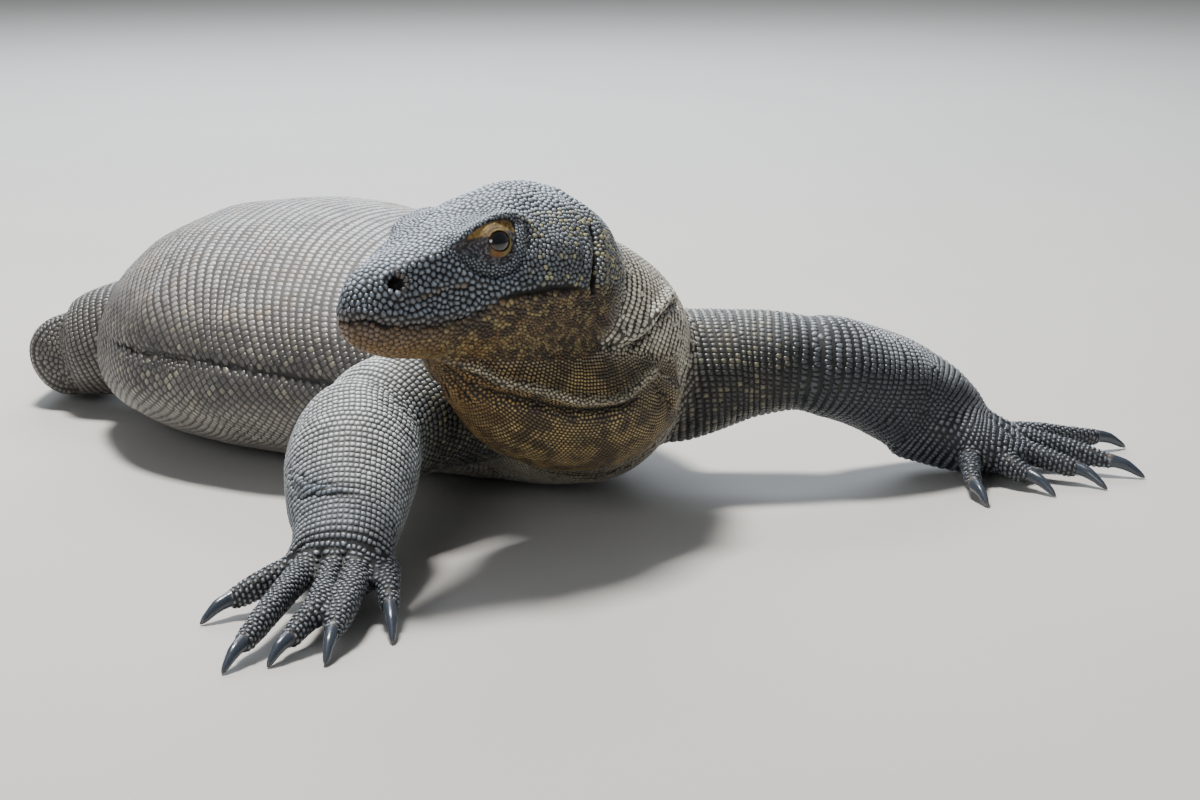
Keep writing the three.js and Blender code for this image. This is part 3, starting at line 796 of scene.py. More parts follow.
def fold_reach(points, line, width):
    """Which points lie near a fold, how near in half widths, and the fade towards its ends."""
    margin = 3 * width * MM
    close = np.flatnonzero(((points > line.min(0) - margin) & (points < line.max(0) + margin)).all(1))
    d, f = polyline(points[close], line)
    fade = 0.3 + 0.7 * step(0, 0.14, f) * fall(0.86, 1, f)
    return close, hump(d, 0, width * MM), fade


def fold_distance(points, name):
    """Distance in mm from points of the unshaped skin to the nearer of a fold's two lines."""
    near = np.full(len(points), 99.0)
    for label, line, *_ in Body.folds:
        if label == name:
            near = np.minimum(near, polyline(points, line)[0] / MM)
    return near


def nostril_distance(h):
    """Distance of head points from the nearer nostril, which is longer than it is high."""
    beside = np.column_stack([h[:, 0], np.abs(h[:, 1]), h[:, 2]])
    return norm((beside - np.array(NOSTRIL)) / [1.2, 1, 1], axis=1)


def shape_skin(mesh):
    """Lumps, folds and ridges, eye sockets, nostrils, mouth line and ears, on both sides."""
    points = points_of(mesh)
    rise = np.zeros(len(points))
    for _, line, height, width, _, _ in Body.folds:
        close, bell, fade = fold_reach(points, line, width)
        rise[close] += height * bell * fade
    h = to_head(points)
    crown = step(45, 70, h[:, 2]) * step(-40, 0, h[:, 0])
    rise += crown * (3.0 * noise(points, 0.013, 21) - 1.5)
    rise += (1 - crown) * step(-120, -30, -h[:, 0]) * (2.6 * noise(points, 0.034, 22) - 1.3)
    d = nostril_distance(h)
    rise += 1.5 * hump(d, 8.6, 2.8) - NOSTRIL_DEPTH * np.exp(-((d / NOSTRIL_REACH) ** 6))
    inward = normals_of(mesh) @ HEAD_TURN
    h = h + inward * rise[:, None]
    for side in (1, -1):
        out = eye_axes(side)[1]
        o, x, y, share = eye_plane(h, side)
        across = np.hypot(x, y)
        # The skin dips under the bare field round the eye, and further under the ball.
        bed = np.sqrt(np.maximum(0, 12.4**2 - np.minimum(across, 12) ** 2)) - 2.6
        socket = fall(10.0, 14.5, across) * (o > -6)
        field = fall(0.86, 1.06, share) * (o > -16)
        target = o - 2.4 * field
        target = target + (np.minimum(bed, target) - target) * socket
        h = h + out * (target - o)[:, None]
    set_points(mesh, to_model(from_head(h)))


def nearest_vertices(points):
    """The skin's vertex nearest to each point."""
    return np.array([Body.vertex_tree.find(p)[1] for p in points.tolist()], int)


def at_rest(points):
    """Points carried back to the skin before its folds were shaped, and the nearest vertices."""
    nearest = nearest_vertices(points)
    return points - Body.moved[nearest], nearest


# ---------- scales
class Lie:
    """Places for scales: points, surface normals, directions round and along the body, sizes, whether they
    stand in rows, kinds, and places on the unwrapped skin."""

    COLUMNS = ("points", "normals", "around", "along", "pitch", "in_row", "kind", "root")

    def __init__(self):
        for name in self.COLUMNS:
            setattr(self, name, [])

    def add(self, chosen, points, normals, around, along, pitch, in_row, kind, root):
        """Adds the chosen ones of the places where a scale can grow."""
        in_row, kind = np.full(len(points), in_row), np.full(len(points), kind, object)
        columns = (points, normals, around, along, pitch, in_row, kind, root)
        columns = [column[chosen] for column in columns]
        free = ~bare(columns[0], columns[1])
        for name, column in zip(self.COLUMNS, columns):
            getattr(self, name).append(column[free])

    def placed(self):
        """The points placed so far."""
        return np.concatenate(self.points)

    def close(self):
        """Joins each column into one array."""
        for name in self.COLUMNS:
            setattr(self, name, np.concatenate(getattr(self, name)))
        self.kind = self.kind.astype(str)


# Rows of scales on each kind of skin: pitch along the body and round it, in mm.
ROWS = {
    "neck": (4.2, 3.6),
    "trunk": (5.4, 4.2),
    "tail": (5.8, 4.6),
    "throat": (3.2, 2.8),
    "arm": (6.6, 5.2),
    "thigh": (5.8, 4.8),
    "shank": (5.6, 4.8),
    "palm": (5.2, 4.4),
    "digit": (4.3, 4.8),
    "head": (4.0, 4.0),
}
# How much smaller the scales of an arm are at the knuckles than at the shoulder.
ARM_TAPER = 0.76
# Rows on the flank lean back as they climb: by this much at the ridge, in mm, and between these places
# along the spine, where the lean grows and fades.
ROW_LEAN = 250.0
LEAN_GROWS, LEAN_FADES = (40, 520), (560, 1150)


def row_pitch(kind):
    """Pitch along and round the body for a kind of skin or a loft."""
    return next(pitch for name, pitch in ROWS.items() if name in kind)


def on_skin(points, reach):
    """Nearest skin point and smooth normal for each point in metres; far ones are dropped."""
    found, normals, keep, faces = [], [], [], []
    polygons = Body.skin.data.polygons
    for i, p in enumerate(points.tolist()):
        at, _, face, distance = Body.tree.find_nearest(p)
        if distance > reach:
            continue
        corners = list(polygons[face].vertices)
        near = 1.0 / (norm(Body.points[corners] - at, axis=1) + 1e-5)
        normal = near @ Body.normals[corners]
        found.append(at)
        normals.append(normal / norm(normal))
        keep.append(i)
        faces.append(face)
    found, normals = (np.array(a).reshape(-1, 3) for a in (found, normals))
    return found, normals, np.array(keep, int), np.array(faces, int)


def row_lean(s, angle):
    """How far back a row has moved at each place round the trunk, in mm."""
    climb = np.mod(angle - math.pi / 2, 2 * math.pi)
    share = step(*LEAN_GROWS, s) * fall(*LEAN_FADES, s)
    return ROW_LEAN * share * (1 + np.cos(climb)) / 2


def arm_chains():
    """Each front limb as one loft from shoulder to knuckles, and the lofts that it stands for."""
    named = {loft.name: loft for loft in Body.lofts}
    chains = []
    for side in ("right", "left"):
        members = [f"upper_arm_{side}", f"forearm_{side}", f"fore_{side}_palm"]
        upper, fore, palm = (named[name].table for name in members)
        chains.append((Loft(f"arm_{side}", np.concatenate([upper[:-2], fore[1:-2], palm[2:]])), members))
    return chains


def loft_rows(loft, along, around, taper, rng):
    """Places in rows round a loft, each half a scale on from the last and smaller by taper at its end."""
    shrunk = lambda s: 1 + (taper - 1) * s / loft.length
    starts, s = [], along * 0.5
    while s < loft.length:
        starts.append(s)
        s += along * shrunk(s)
    s_all, angle_all = [], []
    fine = np.linspace(0, 2 * math.pi, 181)
    for k, s in enumerate(starts):
        outline, _, _ = loft.at(np.full(len(fine), s), fine - math.pi / 2)
        arc = arc_of(outline)
        count = max(6, int(round(arc[-1] / around / shrunk(s))))
        at = (np.arange(count) + 0.5 * (k % 2)) * arc[-1] / count
        s_all.append(np.full(count, s))
        angle_all.append(np.interp(at, arc, fine) - math.pi / 2)
    s, angle = np.concatenate(s_all), np.concatenate(angle_all)
    if loft.name == "spine":
        s = s + row_lean(s, angle)
        keep = s < loft.length
        s, angle = s[keep], angle[keep]
    s = s + rng.normal(0, along * 0.03, len(s))
    points, round_dir, _ = loft.at(s, angle)
    if loft.name == "spine":
        lean = row_lean(s, angle + 0.01) - row_lean(s, angle)
        ahead, _, _ = loft.at(np.minimum(s + lean, loft.length), angle + 0.01)
        round_dir = unit(ahead - points)
    return points, round_dir, s, np.mod(angle / (2 * math.pi) + 0.25, 1.0)


# Distances in mm from the lines and pits of the head within which no scale grows.
BARE_LINES = {"mouth": 1.3, "mouth corner": 2.8, "ear": 2.4, "ear pit": 4.0}


def bare(points, normals):
    """Where no scale grows: round the eyes, in the nostrils, mouth line and ears, and against the floor."""
    h = to_head(points)
    skip = (points[:, 2] < 2.0 * MM) & (normals[:, 2] < -0.5)
    for side in (1, -1):
        o, _, _, share = eye_plane(h, side)
        skip |= (share < 1.02) & (o > -18)
    near = np.flatnonzero((h[:, 0] > -20) & (h[:, 2] > -30) & (np.abs(h[:, 1]) < 80))
    rest, _ = at_rest(points[near])
    pit = nostril_distance(to_head(rest)) < NOSTRIL_REACH + 0.9
    for name, reach in BARE_LINES.items():
        pit |= fold_distance(rest, name) < reach
    skip[near] |= pit
    return skip


def tree_of(points):
    """A search tree of points."""
    tree = KDTree(len(points))
    for i, p in enumerate(points.tolist()):
        tree.insert(p, i)
    tree.balance()
    return tree


def head_pitch(h):
    """Size of the head's scales, in mm: large on the snout and lips, small round the eyes and cheek."""
    side = step(20, 34, np.abs(h[:, 1])) * step(-14, 0, h[:, 2])
    pitch = 3.3 + 0.9 * step(40, 110, h[:, 0]) + 0.9 * step(80, 125, h[:, 0]) * side
    pitch += 0.8 * step(62, 78, h[:, 2]) * fall(60, 110, h[:, 0])
    mouth = np.interp(h[:, 0], [24, 66, 103, 138, 200], [12, 13, 4, -8, -3])
    pitch -= 0.9 * step(2, 8, mouth - h[:, 2]) * (1 - step(120, 160, h[:, 0]) * 0.6)
    away = np.full(len(h), 99.0)
    for side in (1, -1):
        o, x, y, share = eye_plane(h, side)
        beyond = (share - 1) * np.hypot(x, y) / np.maximum(share, 0.1)
        away = np.where(o > -20, np.minimum(away, beyond), away)
    return pitch + (2.2 - pitch) * fall(3, 20, away)


def scatter(rng, faces_kept, pitch_of):
    """Random places over some faces of the skin, several to each scale, with their normals and pitches."""
    mesh = Body.skin.data
    mesh.calc_loop_triangles()
    face = read(mesh.loop_triangles, "polygon_index", 1, np.int32)[:, 0]
    tris = read(mesh.loop_triangles, "vertices", 3, np.int32)[faces_kept[face]]
    a, b, c = (Body.points[tris[:, k]] for k in range(3))
    area = norm(np.cross(b - a, c - a), axis=1) / 2
    # About nine places to each scale, whose cell is 0.8 of its pitch squared.
    count = rng.poisson(area / (0.8 * (pitch_of(a) * MM) ** 2) * 9)
    which = np.repeat(np.arange(len(tris)), count)
    which = which[rng.permutation(len(which))]
    u, v = rng.random(len(which)), rng.random(len(which))
    flip = u + v > 1
    u[flip], v[flip] = 1 - u[flip], 1 - v[flip]
    points = a[which] + (b - a)[which] * u[:, None] + (c - a)[which] * v[:, None]
    normals = unit(Body.normals[tris[which]].mean(1))
    return points, normals, pitch_of(points)


def thinned(points, pitch, taken, spacing):
    """Indices of points kept so that none is closer than a share of its pitch to others or those taken."""
    cells, kept = {}, []
    size = pitch.max() * MM
    shifts = list(itertools.product((-1, 0, 1), repeat=3))
    for i, p in enumerate(points.tolist()):
        limit = spacing * pitch[i] * MM
        if taken is not None and taken.find(p)[2] < limit:
            continue
        x, y, z = (int(c // size) for c in p)
        near = (q for i, j, k in shifts for q in cells.get((x + i, y + j, z + k), ()))
        if all((p[0] - q[0]) ** 2 + (p[1] - q[1]) ** 2 + (p[2] - q[2]) ** 2 >= limit * limit for q in near):
            cells.setdefault((x, y, z), []).append(p)
            kept.append(i)
    return np.array(kept, int)


def relaxed(points, pitch, rounds, held):
    """Places pushed apart until they lie evenly among those held still, each kept on the skin."""
    normals = None
    for _ in range(rounds):
        # Each place is pushed off the seven nearest others, as far as a little over the pitch.
        everything = np.concatenate([points, held])
        tree = tree_of(everything)
        near = np.array([[j for _, j, _ in tree.find_n(p, 8)][1:] for p in points.tolist()])
        away = points[:, None] - everything[near]
        gap = norm(away, axis=-1)
        shove = np.clip(pitch[:, None] * 1.08 * MM - gap, 0, None) / np.maximum(gap, 1e-6)
        moved = points + (away * shove[..., None]).sum(1) * 0.3
        found, normals, keep, _ = on_skin(moved, 20 * MM)
        points, pitch = found, pitch[keep]
    return points, normals, pitch


def tangents(normals, lead):
    """Directions across and along lead in each tangent plane."""
    along = unit(lead - normals * (lead * normals).sum(1)[:, None])
    return np.cross(normals, along), along


def spine_place(points):
    """How far along the spine the nearest point of its axis lies, in mm, for points in metres."""
    spine = Body.lofts[0]
    axis = catmull(spine.table, spine.t)[:, :3]
    tree = tree_of(to_model(axis[::6]))
    where = np.array([tree.find(p)[1] for p in points.tolist()])
    return spine.arc[::6][where]


# Lengths along the spine, in mm, where the neck gives way to the trunk and the trunk to the tail.
NECK_END, TRUNK_END = 250, 790


def kinds_of(owner, points):
    """The kind of skin at each point: its loft, with the spine divided into neck, trunk and tail."""
    kind = owner.astype(object)
    on_spine = owner == "spine"
    s = spine_place(points[on_spine])
    kind[on_spine] = np.where(s < NECK_END, "neck", np.where(s < TRUNK_END, "trunk", "tail"))
    return kind.astype(str)


# Least distance between scales as a share of their pitch: on the head, in rows, and where they fill a gap.
HEAD_SPACING, ROW_SPACING, FILL_SPACING = 0.86, 0.74, 0.76
# How far from a loft, in mm, its rows still find the skin: further where the lofts of a limb bend into
# each other.
ROW_DROP, CHAIN_DROP = 6.5, 12


def head_scales(lie, rng):
    """Scales of the head, spread evenly by their size."""
    points, normals, pitch = scatter(rng, Body.owner_of_face == "head", lambda p: head_pitch(to_head(p)))
    chosen = thinned(points, pitch, None, HEAD_SPACING)
    points, normals, pitch = relaxed(points[chosen], pitch[chosen], 6, np.zeros((0, 3)))
    around, along = tangents(normals, np.broadcast_to(HEAD_TURN[:, 0], points.shape))
    h = to_head(points)
    root = np.column_stack([(h[:, 0] + 120) / 360, np.arctan2(h[:, 1], h[:, 2]) / 6.4 + 0.5])
    lie.add(slice(None), points, normals, around, along, pitch, False, "head", root)


def row_scales(lie, rng):
    """Scales in rows round every loft of the body."""
    chains = arm_chains()
    chained = [name for _, members in chains for name in members]
    for loft, members in chains + [(loft, [loft.name]) for loft in Body.lofts if loft.name not in chained]:
        chain = len(members) > 1
        taper = ARM_TAPER if chain else 1.0
        groups = [(loft.name, 0, loft.length)]
        if loft.name == "spine":
            groups = [("neck", 0, NECK_END), ("trunk", NECK_END, TRUNK_END)]
            groups += [("tail", TRUNK_END, loft.length)]
        for kind, low, high in groups:
            pitch_along, pitch_around = row_pitch(kind)
            points, around, s, turn = loft_rows(loft, pitch_along, pitch_around, taper, rng)
            part = (s >= low) & (s < high)
            points, around, s, turn = (a[part] for a in (points, around, s, turn))
            drop = CHAIN_DROP if chain else ROW_DROP
            found, normals, keep, faces = on_skin(to_model(points), drop * MM)
            owner = Body.owner_of_face[faces]
            own = np.isin(owner, members)
            if not own.any():
                continue
            keep, found, normals, owner = (a[own] for a in (keep, found, normals, owner))
            size = 1 + (taper - 1) * s[keep] / loft.length
            pitch = size * (pitch_along + pitch_around) / 2
            chosen = thinned(found, pitch, tree_of(lie.placed()), ROW_SPACING)
            keep, found, normals, owner, pitch = (a[chosen] for a in (keep, found, normals, owner, pitch))
            around = unit(around[keep] - normals * (around[keep] * normals).sum(1)[:, None])
            along = np.cross(normals, around)
            root = np.column_stack([(s[keep] - low) / (high - low), turn[keep]])
            for name in members:
                label = name if chain else kind
                lie.add(owner == name, found, normals, around, along, pitch, True, label, root)


# Distance to the nearest scale, as a share of the pitch, beyond which a gap is filled: on the trunk and
# tail, on the head and elsewhere. Scales that fill a gap are this much smaller.
TRUNK_GAP, HEAD_GAP, BODY_GAP, FILL_SIZE = 1.2, 0.84, 0.95, 0.92


def fill_scales(lie, rng):
    """Scales in the gaps that the rows leave where lofts meet."""
    placed = tree_of(lie.placed())
    gaps = np.array([placed.find(p)[2] for p in Body.points.tolist()])
    kinds = kinds_of(Body.owner, Body.points)
    pitches = {name: np.mean(row_pitch(name)) for name in np.unique(kinds)}
    pitch_here = np.array([pitches[name] for name in kinds])
    on_trunk = (kinds == "trunk") | (kinds == "tail")
    limit = np.where(Body.owner == "head", HEAD_GAP, BODY_GAP)
    limit = np.where(on_trunk, TRUNK_GAP, limit) * pitch_here * MM
    open_faces = (gaps > limit)[Body.first_of_face]
    points, normals, pitch = scatter(rng, open_faces, lambda p: FILL_SIZE * pitch_here[nearest_vertices(p)])
    if not len(points):
        return
    chosen = thinned(points, pitch, placed, FILL_SPACING)
    points, normals, pitch = relaxed(points[chosen], pitch[chosen], 4, lie.placed())
    names = kinds[nearest_vertices(points)]
    around, along = tangents(normals, np.broadcast_to(HEAD_TURN[:, 0], points.shape))
    root = rng.uniform(0.01, 0.99, (len(points), 2))
    for name in np.unique(names):
        lie.add(names == name, points, normals, around, along, pitch, False, name, root)


def lay_scales():
    """Every scale's place: even on the head, in rows round the lofts, and in the gaps between them."""
    rng = np.random.default_rng(11)
    lie = Lie()
    for lay in (head_scales, row_scales, fill_scales):
        lay(lie, rng)
    lie.close()
    return lie


# Widest reach of a scale from its middle, as a share of its pitch, in rows and elsewhere.
ROW_RADIUS, LOOSE_RADIUS = 1.3, 0.9


def scale_outlines(lie, sides):
    """How far each scale reaches on each side, half way to its neighbours, and how the skin falls there."""
    tree = tree_of(lie.points)
    near = np.array([[j for _, j, _ in tree.find_n(p, 12)][1:] for p in lie.points.tolist()])
    away = lie.points[near] - lie.points[:, None]
    x, y, z = ((away * axis[:, None]).sum(-1) for axis in (lie.around, lie.along, lie.normals))
    flat = x * x + y * y
    facing = (lie.normals[near] * lie.normals[:, None]).sum(-1) > 0.1
    angles = np.arange(sides) * 2 * math.pi / sides
    toward = x[:, :, None] * np.cos(angles) + y[:, :, None] * np.sin(angles)
    usable = (toward > 1e-7) & facing[:, :, None]
    reach = np.where(usable, flat[:, :, None] / 2 / np.maximum(toward, 1e-7), np.inf)
    best = reach.argmin(1)
    limit = np.where(lie.in_row, ROW_RADIUS, LOOSE_RADIUS) * lie.pitch
    radius = np.minimum(reach.min(1), limit[:, None] * MM)
    # Half way to the next row on each side, where a scale in a row is cut straight.
    beside = (np.abs(y) < 0.6 * np.abs(x)) | (np.abs(y) < 0.35 * lie.pitch[:, None] * MM)
    ahead, behind = (np.where(beside | (s * y < 0), np.inf, s * y).min(1) / 2 for s in (1, -1))
    half = np.where(np.sin(angles) > 0, ahead[:, None], behind[:, None])
    straight = np.where(lie.in_row[:, None], half / np.maximum(np.abs(np.sin(angles)), 1e-3), np.inf)
    radius = np.minimum(radius, straight)
    fall = np.clip(-z / np.maximum(flat, 1e-9), -40, 80)
    return angles, radius, np.take_along_axis(fall, best, 1) * radius**2


def raw_mesh(name, points, triangles, tint):
    """A mesh of triangles with its Tint colours, made straight from arrays."""
    mesh = bpy.data.meshes.new(name)
    mesh.vertices.add(len(points))
    mesh.vertices.foreach_set("co", points.astype(np.float32).ravel())
    mesh.loops.add(triangles.size)
    mesh.loops.foreach_set("vertex_index", triangles.astype(np.int32).ravel())
    mesh.polygons.add(len(triangles))
    mesh.polygons.foreach_set("loop_start", np.arange(0, triangles.size, 3, dtype=np.int32))
    mesh.update(calc_edges=True)
    mesh.shade_smooth()
    put_tint(mesh, tint)
    return in_scene(name, mesh)


def put_tint(mesh, tint):
    """Sets the Tint colour of each vertex."""
    layer = mesh.color_attributes.new("Tint", "FLOAT_COLOR", "POINT")
    full = np.column_stack([tint, np.ones(len(tint))]).astype(np.float32)
    layer.data.foreach_set("color", full.ravel())


# Share of a scale's rise at its shoulder, and size of a scale's patch in the bake map.
SHOULDER_RISE, PATCH = 0.72, 0.003


def coat_piece(name, lie, chosen, shape, tints, settings):
    """Domed scales joined into one mesh: a crown, a shoulder ring and a foot ring that dips into the skin."""
    angles, radius, drop = shape[0], shape[1][chosen], shape[2][chosen]
    sides, count = len(angles), len(chosen)
    normal, around, along = (a[chosen][:, None] for a in (lie.normals, lie.around, lie.along))
    root = lie.points[chosen][:, None]
    gap, rise, shoulder = tints["gap"][chosen], tints["rise"][chosen] * MM, tints["shoulder"][chosen]
    across, along_row, filled = tints["furrow"][chosen].T[:, :, None]
    radius = radius * gap[:, None] * (1 - across * np.sin(angles) ** 2 - along_row * np.cos(angles) ** 2)
    out = around * np.cos(angles)[None, :, None] + along * np.sin(angles)[None, :, None]
    foot = root + out * radius[:, :, None] - normal * (drop + settings.scale_foot)[:, :, None]
    mid = root + out * (radius * shoulder[:, None])[:, :, None]
    mid = mid + normal * (rise[:, None] * SHOULDER_RISE - drop * shoulder[:, None] ** 2)[:, :, None]
    top = root + normal * rise[:, None, None]
    points = np.concatenate([top, mid, foot], axis=1)
    k = np.arange(sides)
    k2 = (k + 1) % sides
    fan = np.stack([np.zeros(sides, int), 1 + k, 1 + k2], -1)
    low = np.stack([1 + k, 1 + sides + k, 1 + sides + k2], -1)
    high = np.stack([1 + k, 1 + sides + k2, 1 + k2], -1)
    one = np.concatenate([fan, low, high])
    size = 1 + 2 * sides
    triangles = (one[None] + (np.arange(count) * size)[:, None, None]).reshape(-1, 3)
    crown, body, groove = (tints[key][chosen][:, None] for key in ("crown", "body", "groove"))
    foot_tint = groove + (body * 0.8 - groove) * (filled * np.cos(angles) ** 2)[:, :, None]
    tint = np.concatenate([crown, np.repeat(body, sides, 1), foot_tint], axis=1)
    piece = raw_mesh(name, points.reshape(-1, 3), triangles, tint.reshape(-1, 3))
    names = np.unique(lie.kind[chosen])
    column = np.searchsorted(names, lie.kind[chosen])
    place = np.clip(lie.root[chosen], 0.01, 0.99)
    place = np.column_stack([(place[:, 0] + column) / len(names), place[:, 1]])
    disc = np.stack([np.cos(angles), np.sin(angles)], -1)
    local = np.concatenate([np.zeros((1, 2)), disc * 0.6, disc]) * (PATCH / 2)
    uv = (place[:, None] + local[None]).reshape(-1, 2)[triangles.ravel()]
    layer = piece.data.uv_layers.new(name="OFBake")
    layer.uv.foreach_set("vector", uv.astype(np.float32).ravel())
    return piece


# ---------- markings
def linear(code):
    """Linear colour of an sRGB hex value."""
    parts = [(code >> shift & 255) / 255 for shift in (16, 8, 0)]
    return np.array([c / 12.92 if c <= 0.04045 else ((c + 0.055) / 1.055) ** 2.4 for c in parts])


# Each kind of skin: colours of the crown of its scales, their body and the grooves between them; then the
# height of the scales in mm, the share left after the gap between them and where the shoulder of the dome
# sits; then the share of a cell left open between rows and within a row, and how far grooves within a row
# take the scales' colour.
HIDES = {
    "head": ((0x8C95A0, 0x3A4048, 0x08090A), (0.8, 0.985, 0.87), (0.0, 0.0, 0.0)),
    "throat": ((0xC2B280, 0x664C1E, 0x120A03), (0.7, 0.98, 0.82), (0.0, 0.10, 0.1)),
    "neck": ((0xEAE5D8, 0xBBB4A4, 0x453D31), (0.6, 0.99, 0.84), (0.06, 0.0, 0.35)),
    "trunk": ((0x8E8A85, 0x7B7772, 0x403C38), (0.4, 0.995, 0.84), (0.12, 0.0, 0.8)),
    "tail": ((0x6A6760, 0x585550, 0x2A2826), (0.5, 0.99, 0.84), (0.12, 0.0, 0.6)),
    "arm": ((0xCBD0D2, 0x767C80, 0x060708), (1.0, 0.99, 0.84), (0.18, 0.0, 0.5)),
    "leg": ((0x67645E, 0x504E49, 0x201F1D), (0.6, 0.99, 0.84), (0.12, 0.0, 0.5)),
    "foot": ((0x9CA1A6, 0x383C42, 0x050506), (0.9, 0.985, 0.82), (0.28, 0.0, 0.9)),
}
HIDE_NAMES = list(HIDES)
HIDE_COLOURS, RELIEF, FURROWS = zip(*HIDES.values())


def hide_index(kind):
    """Which hide each kind of skin wears."""
    rules = (("arm", "arm"), ("thigh", "leg"), ("shank", "leg"), ("palm", "foot"), ("digit", "foot"))
    out = np.zeros(len(kind), int)
    for i, name in enumerate(kind):
        hide = next((hide for key, hide in rules if key in name), name)
        out[i] = HIDE_NAMES.index(hide)
    return out


def markings(points, rest, normals, weights, seed):
    """Crown, body and groove colours at points, from the soft shares of each hide, with painted light and
    shade.
    """
    table = np.array([[linear(code) for code in colours] for colours in HIDE_COLOURS])
    crown, body, groove = (weights @ table[:, k] for k in range(3))
    # Places in the head's own frame and in the plan's.
    ahead, beside, above = to_head(points).T
    x, y, z = (points / MM - OFFSET).T
    head, throat, neck, trunk, tail, arm, _, foot = weights.T
    broad = noise(points, 0.045, seed) - 0.5
    small = noise(points, 0.011, seed + 1) - 0.5
    each = noise(points, 0.0031, seed + 2)
    tone = 1 + 0.35 * broad + 0.45 * small + (0.5 + 0.4 * throat) * (each - 0.5)

    def mix(code, amount):
        """Tints the skin by an amount at each point: crowns in full, bodies and grooves darker."""
        nonlocal crown, body, groove
        colour = linear(code)
        amount = np.clip(amount, 0, 1)[:, None]
        crown = crown + (colour - crown) * amount
        body = body + (colour * 0.7 - body) * amount * 0.9
        groove = groove + (colour * 0.12 - groove) * amount * 0.5

    # Painted sheen: upward-facing skin is painted lighter, a pale blue-grey on the head and a bone grey on
    # the neck, arms and back, standing in for the light from above.
    top = step(0.35, 0.95, normals[:, 2])
    mix(0xB4BFCC, top * head * 0.62)
    mix(0xD6D5D0, top * (neck + arm) * 0.55)
    mix(0xC6C6C7, top * (trunk + 0.5 * tail) * 0.55)
    # Lips and lower jaw: dusky brown in front, ochre and cream flecks on dark behind.
    mouth = np.interp(ahead, [24, 47, 66, 85, 103, 115, 138, 181, 200], [13, 15, 14, 11, 5, -2, -7, -5, 0])
    below = mouth - above
    jaw = step(-1.0, 2.5, below) * (head > 0.3) * step(-40, 0, ahead)
    mix(0x70542A, jaw * 0.9)
    mix(0x84622A, jaw * step(10, 24, below) * step(60, 110, ahead) * 0.7)
    dusky = step(0.40, 0.56, noise(points, 0.0065, seed + 3))
    mix(0x2B1F14, jaw * fall(110, 150, ahead) * dusky * 0.85)
    mix(0x9A8A5A, jaw * fall(120, 165, ahead) * step(0.56, 0.70, each) * 0.7)
    groove = groove + (body - groove) * (0.35 * jaw)[:, None]
    mix(0x8D7468, jaw * step(150, 185, ahead) * step(0.5, 0.7, noise(points, 0.012, seed + 4)) * 0.6)
    mix(0x5A452E, fall(3, 9, np.abs(below)) * step(100, 140, ahead) * (head > 0.3) * 0.5)
    # Cream and yellow flecks on the temple and behind the ear, one scale at a time.
    side = np.abs(beside)
    temple = step(-70, -10, ahead) * fall(40, 80, ahead) * step(34, 50, side) * step(8, 20, above)
    density = 0.50 + 0.22 * (broad + 0.5) - 0.08 * fall(-10, 30, ahead)
    dotted = step(density, density + 0.08, each) * temple
    mix(0xC6BC80, dotted * np.maximum(head, neck) * 0.85)
    mix(0x55534A, temple * head * 0.35)
    # Throat: dark spots, and a warmer chin.
    spots = step(0.46, 0.62, noise(points, 0.0085, seed + 5) * 0.6 + each * 0.4) * throat
    mix(0x2C1C0A, spots * 0.8)
    mix(0x865E26, throat * step(40, 100, ahead) * 0.6)
    mix(0x9A917C, throat * fall(-70, 10, ahead) * step(-95, -55, above) * 0.6)
    # Neck: browner beneath.
    mix(0x6A5B42, neck * fall(90, 130, z) * 0.7)
    # Trunk and tail: pale ridge (the painted sheen above), the flank darkened as painted shade, with cream
    # flecks, and a paler belly.
    back = trunk + tail * 0.6
    # Painted shade on the flank below the ridge.
    mix(0x4C4A47, back * step(58, 84, z) * fall(118, 150, z) * 0.85)
    patches = step(0.52, 0.66, noise(points, 0.022, seed + 7))
    patches = patches * step(50, 74, z) * fall(104, 124, z)
    mix(0x31353B, patches * trunk * step(-340, -300, x) * 0.7)
    flecks = step(0.66, 0.74, each) * (0.2 + 0.8 * fall(120, 150, z)) * step(50, 70, z)
    mix(0x8E8874, flecks * trunk * 0.6)
    earthy = step(0.60, 0.72, noise(points, 0.016, seed + 6))
    mix(0xA88F6C, earthy * back * step(120, 150, z) * 0.35)
    mix(0x8F8B86, trunk * fall(40, 62, z) * 0.7)
    # Arms: painted shadow darkens the left upper arm to a dark brown and painted shade the inner side of the
    # right upper arm to an olive brown, both less on upward faces; the left arm is dusky slate from the elbow
    # down, kept lighter on upward faces as painted light, with a painted pale blue-grey highlight on top.
    reach = x + y * 0.4
    left = step(40, 90, reach) * arm
    # Painted shadow on the left upper arm; the slate below is the arm's own colour, kept lighter on upward
    # faces as painted light.
    mix(0x27241D, left * fall(185, 235, reach) * (1 - 0.4 * top) * 0.97)
    mix(0x2A3039, left * step(165, 215, reach) * (1 - 0.7 * top) * 0.95)
    # Painted highlight on top of the left forearm.
    mix(0x97A3B2, left * top * step(150, 180, reach) * 0.35)
    # Painted shade on the inner side of the right upper arm; the cream dots below are markings.
    inner = arm * fall(40, 90, reach) * step(-285, -240, y) * step(-20, 10, x)
    mix(0x3C3A31, inner * (1 - 0.5 * top) * 0.95)
    mix(0x8A8468, (inner + left * fall(165, 200, reach)) * step(0.58, 0.72, each) * 0.55)
    mix(0x525A66, foot * step(120, 200, x) * 0.6)
    wrist = arm * fall(-404, -366, y)
    mix(0x59636E, wrist * 0.7)
    # Folds: painted shade in the grooves, pits and clefts and painted highlight on the crests, and the skin's
    # own colour on the few folds whose colour is neither.
    for _, line, _, width, code, strength in Body.folds:
        if code is not None:
            close, bell, fade = fold_reach(rest, line, width * 0.8)
            there = np.zeros(len(points))
            there[close] = bell * fade * strength
            mix(code, there)
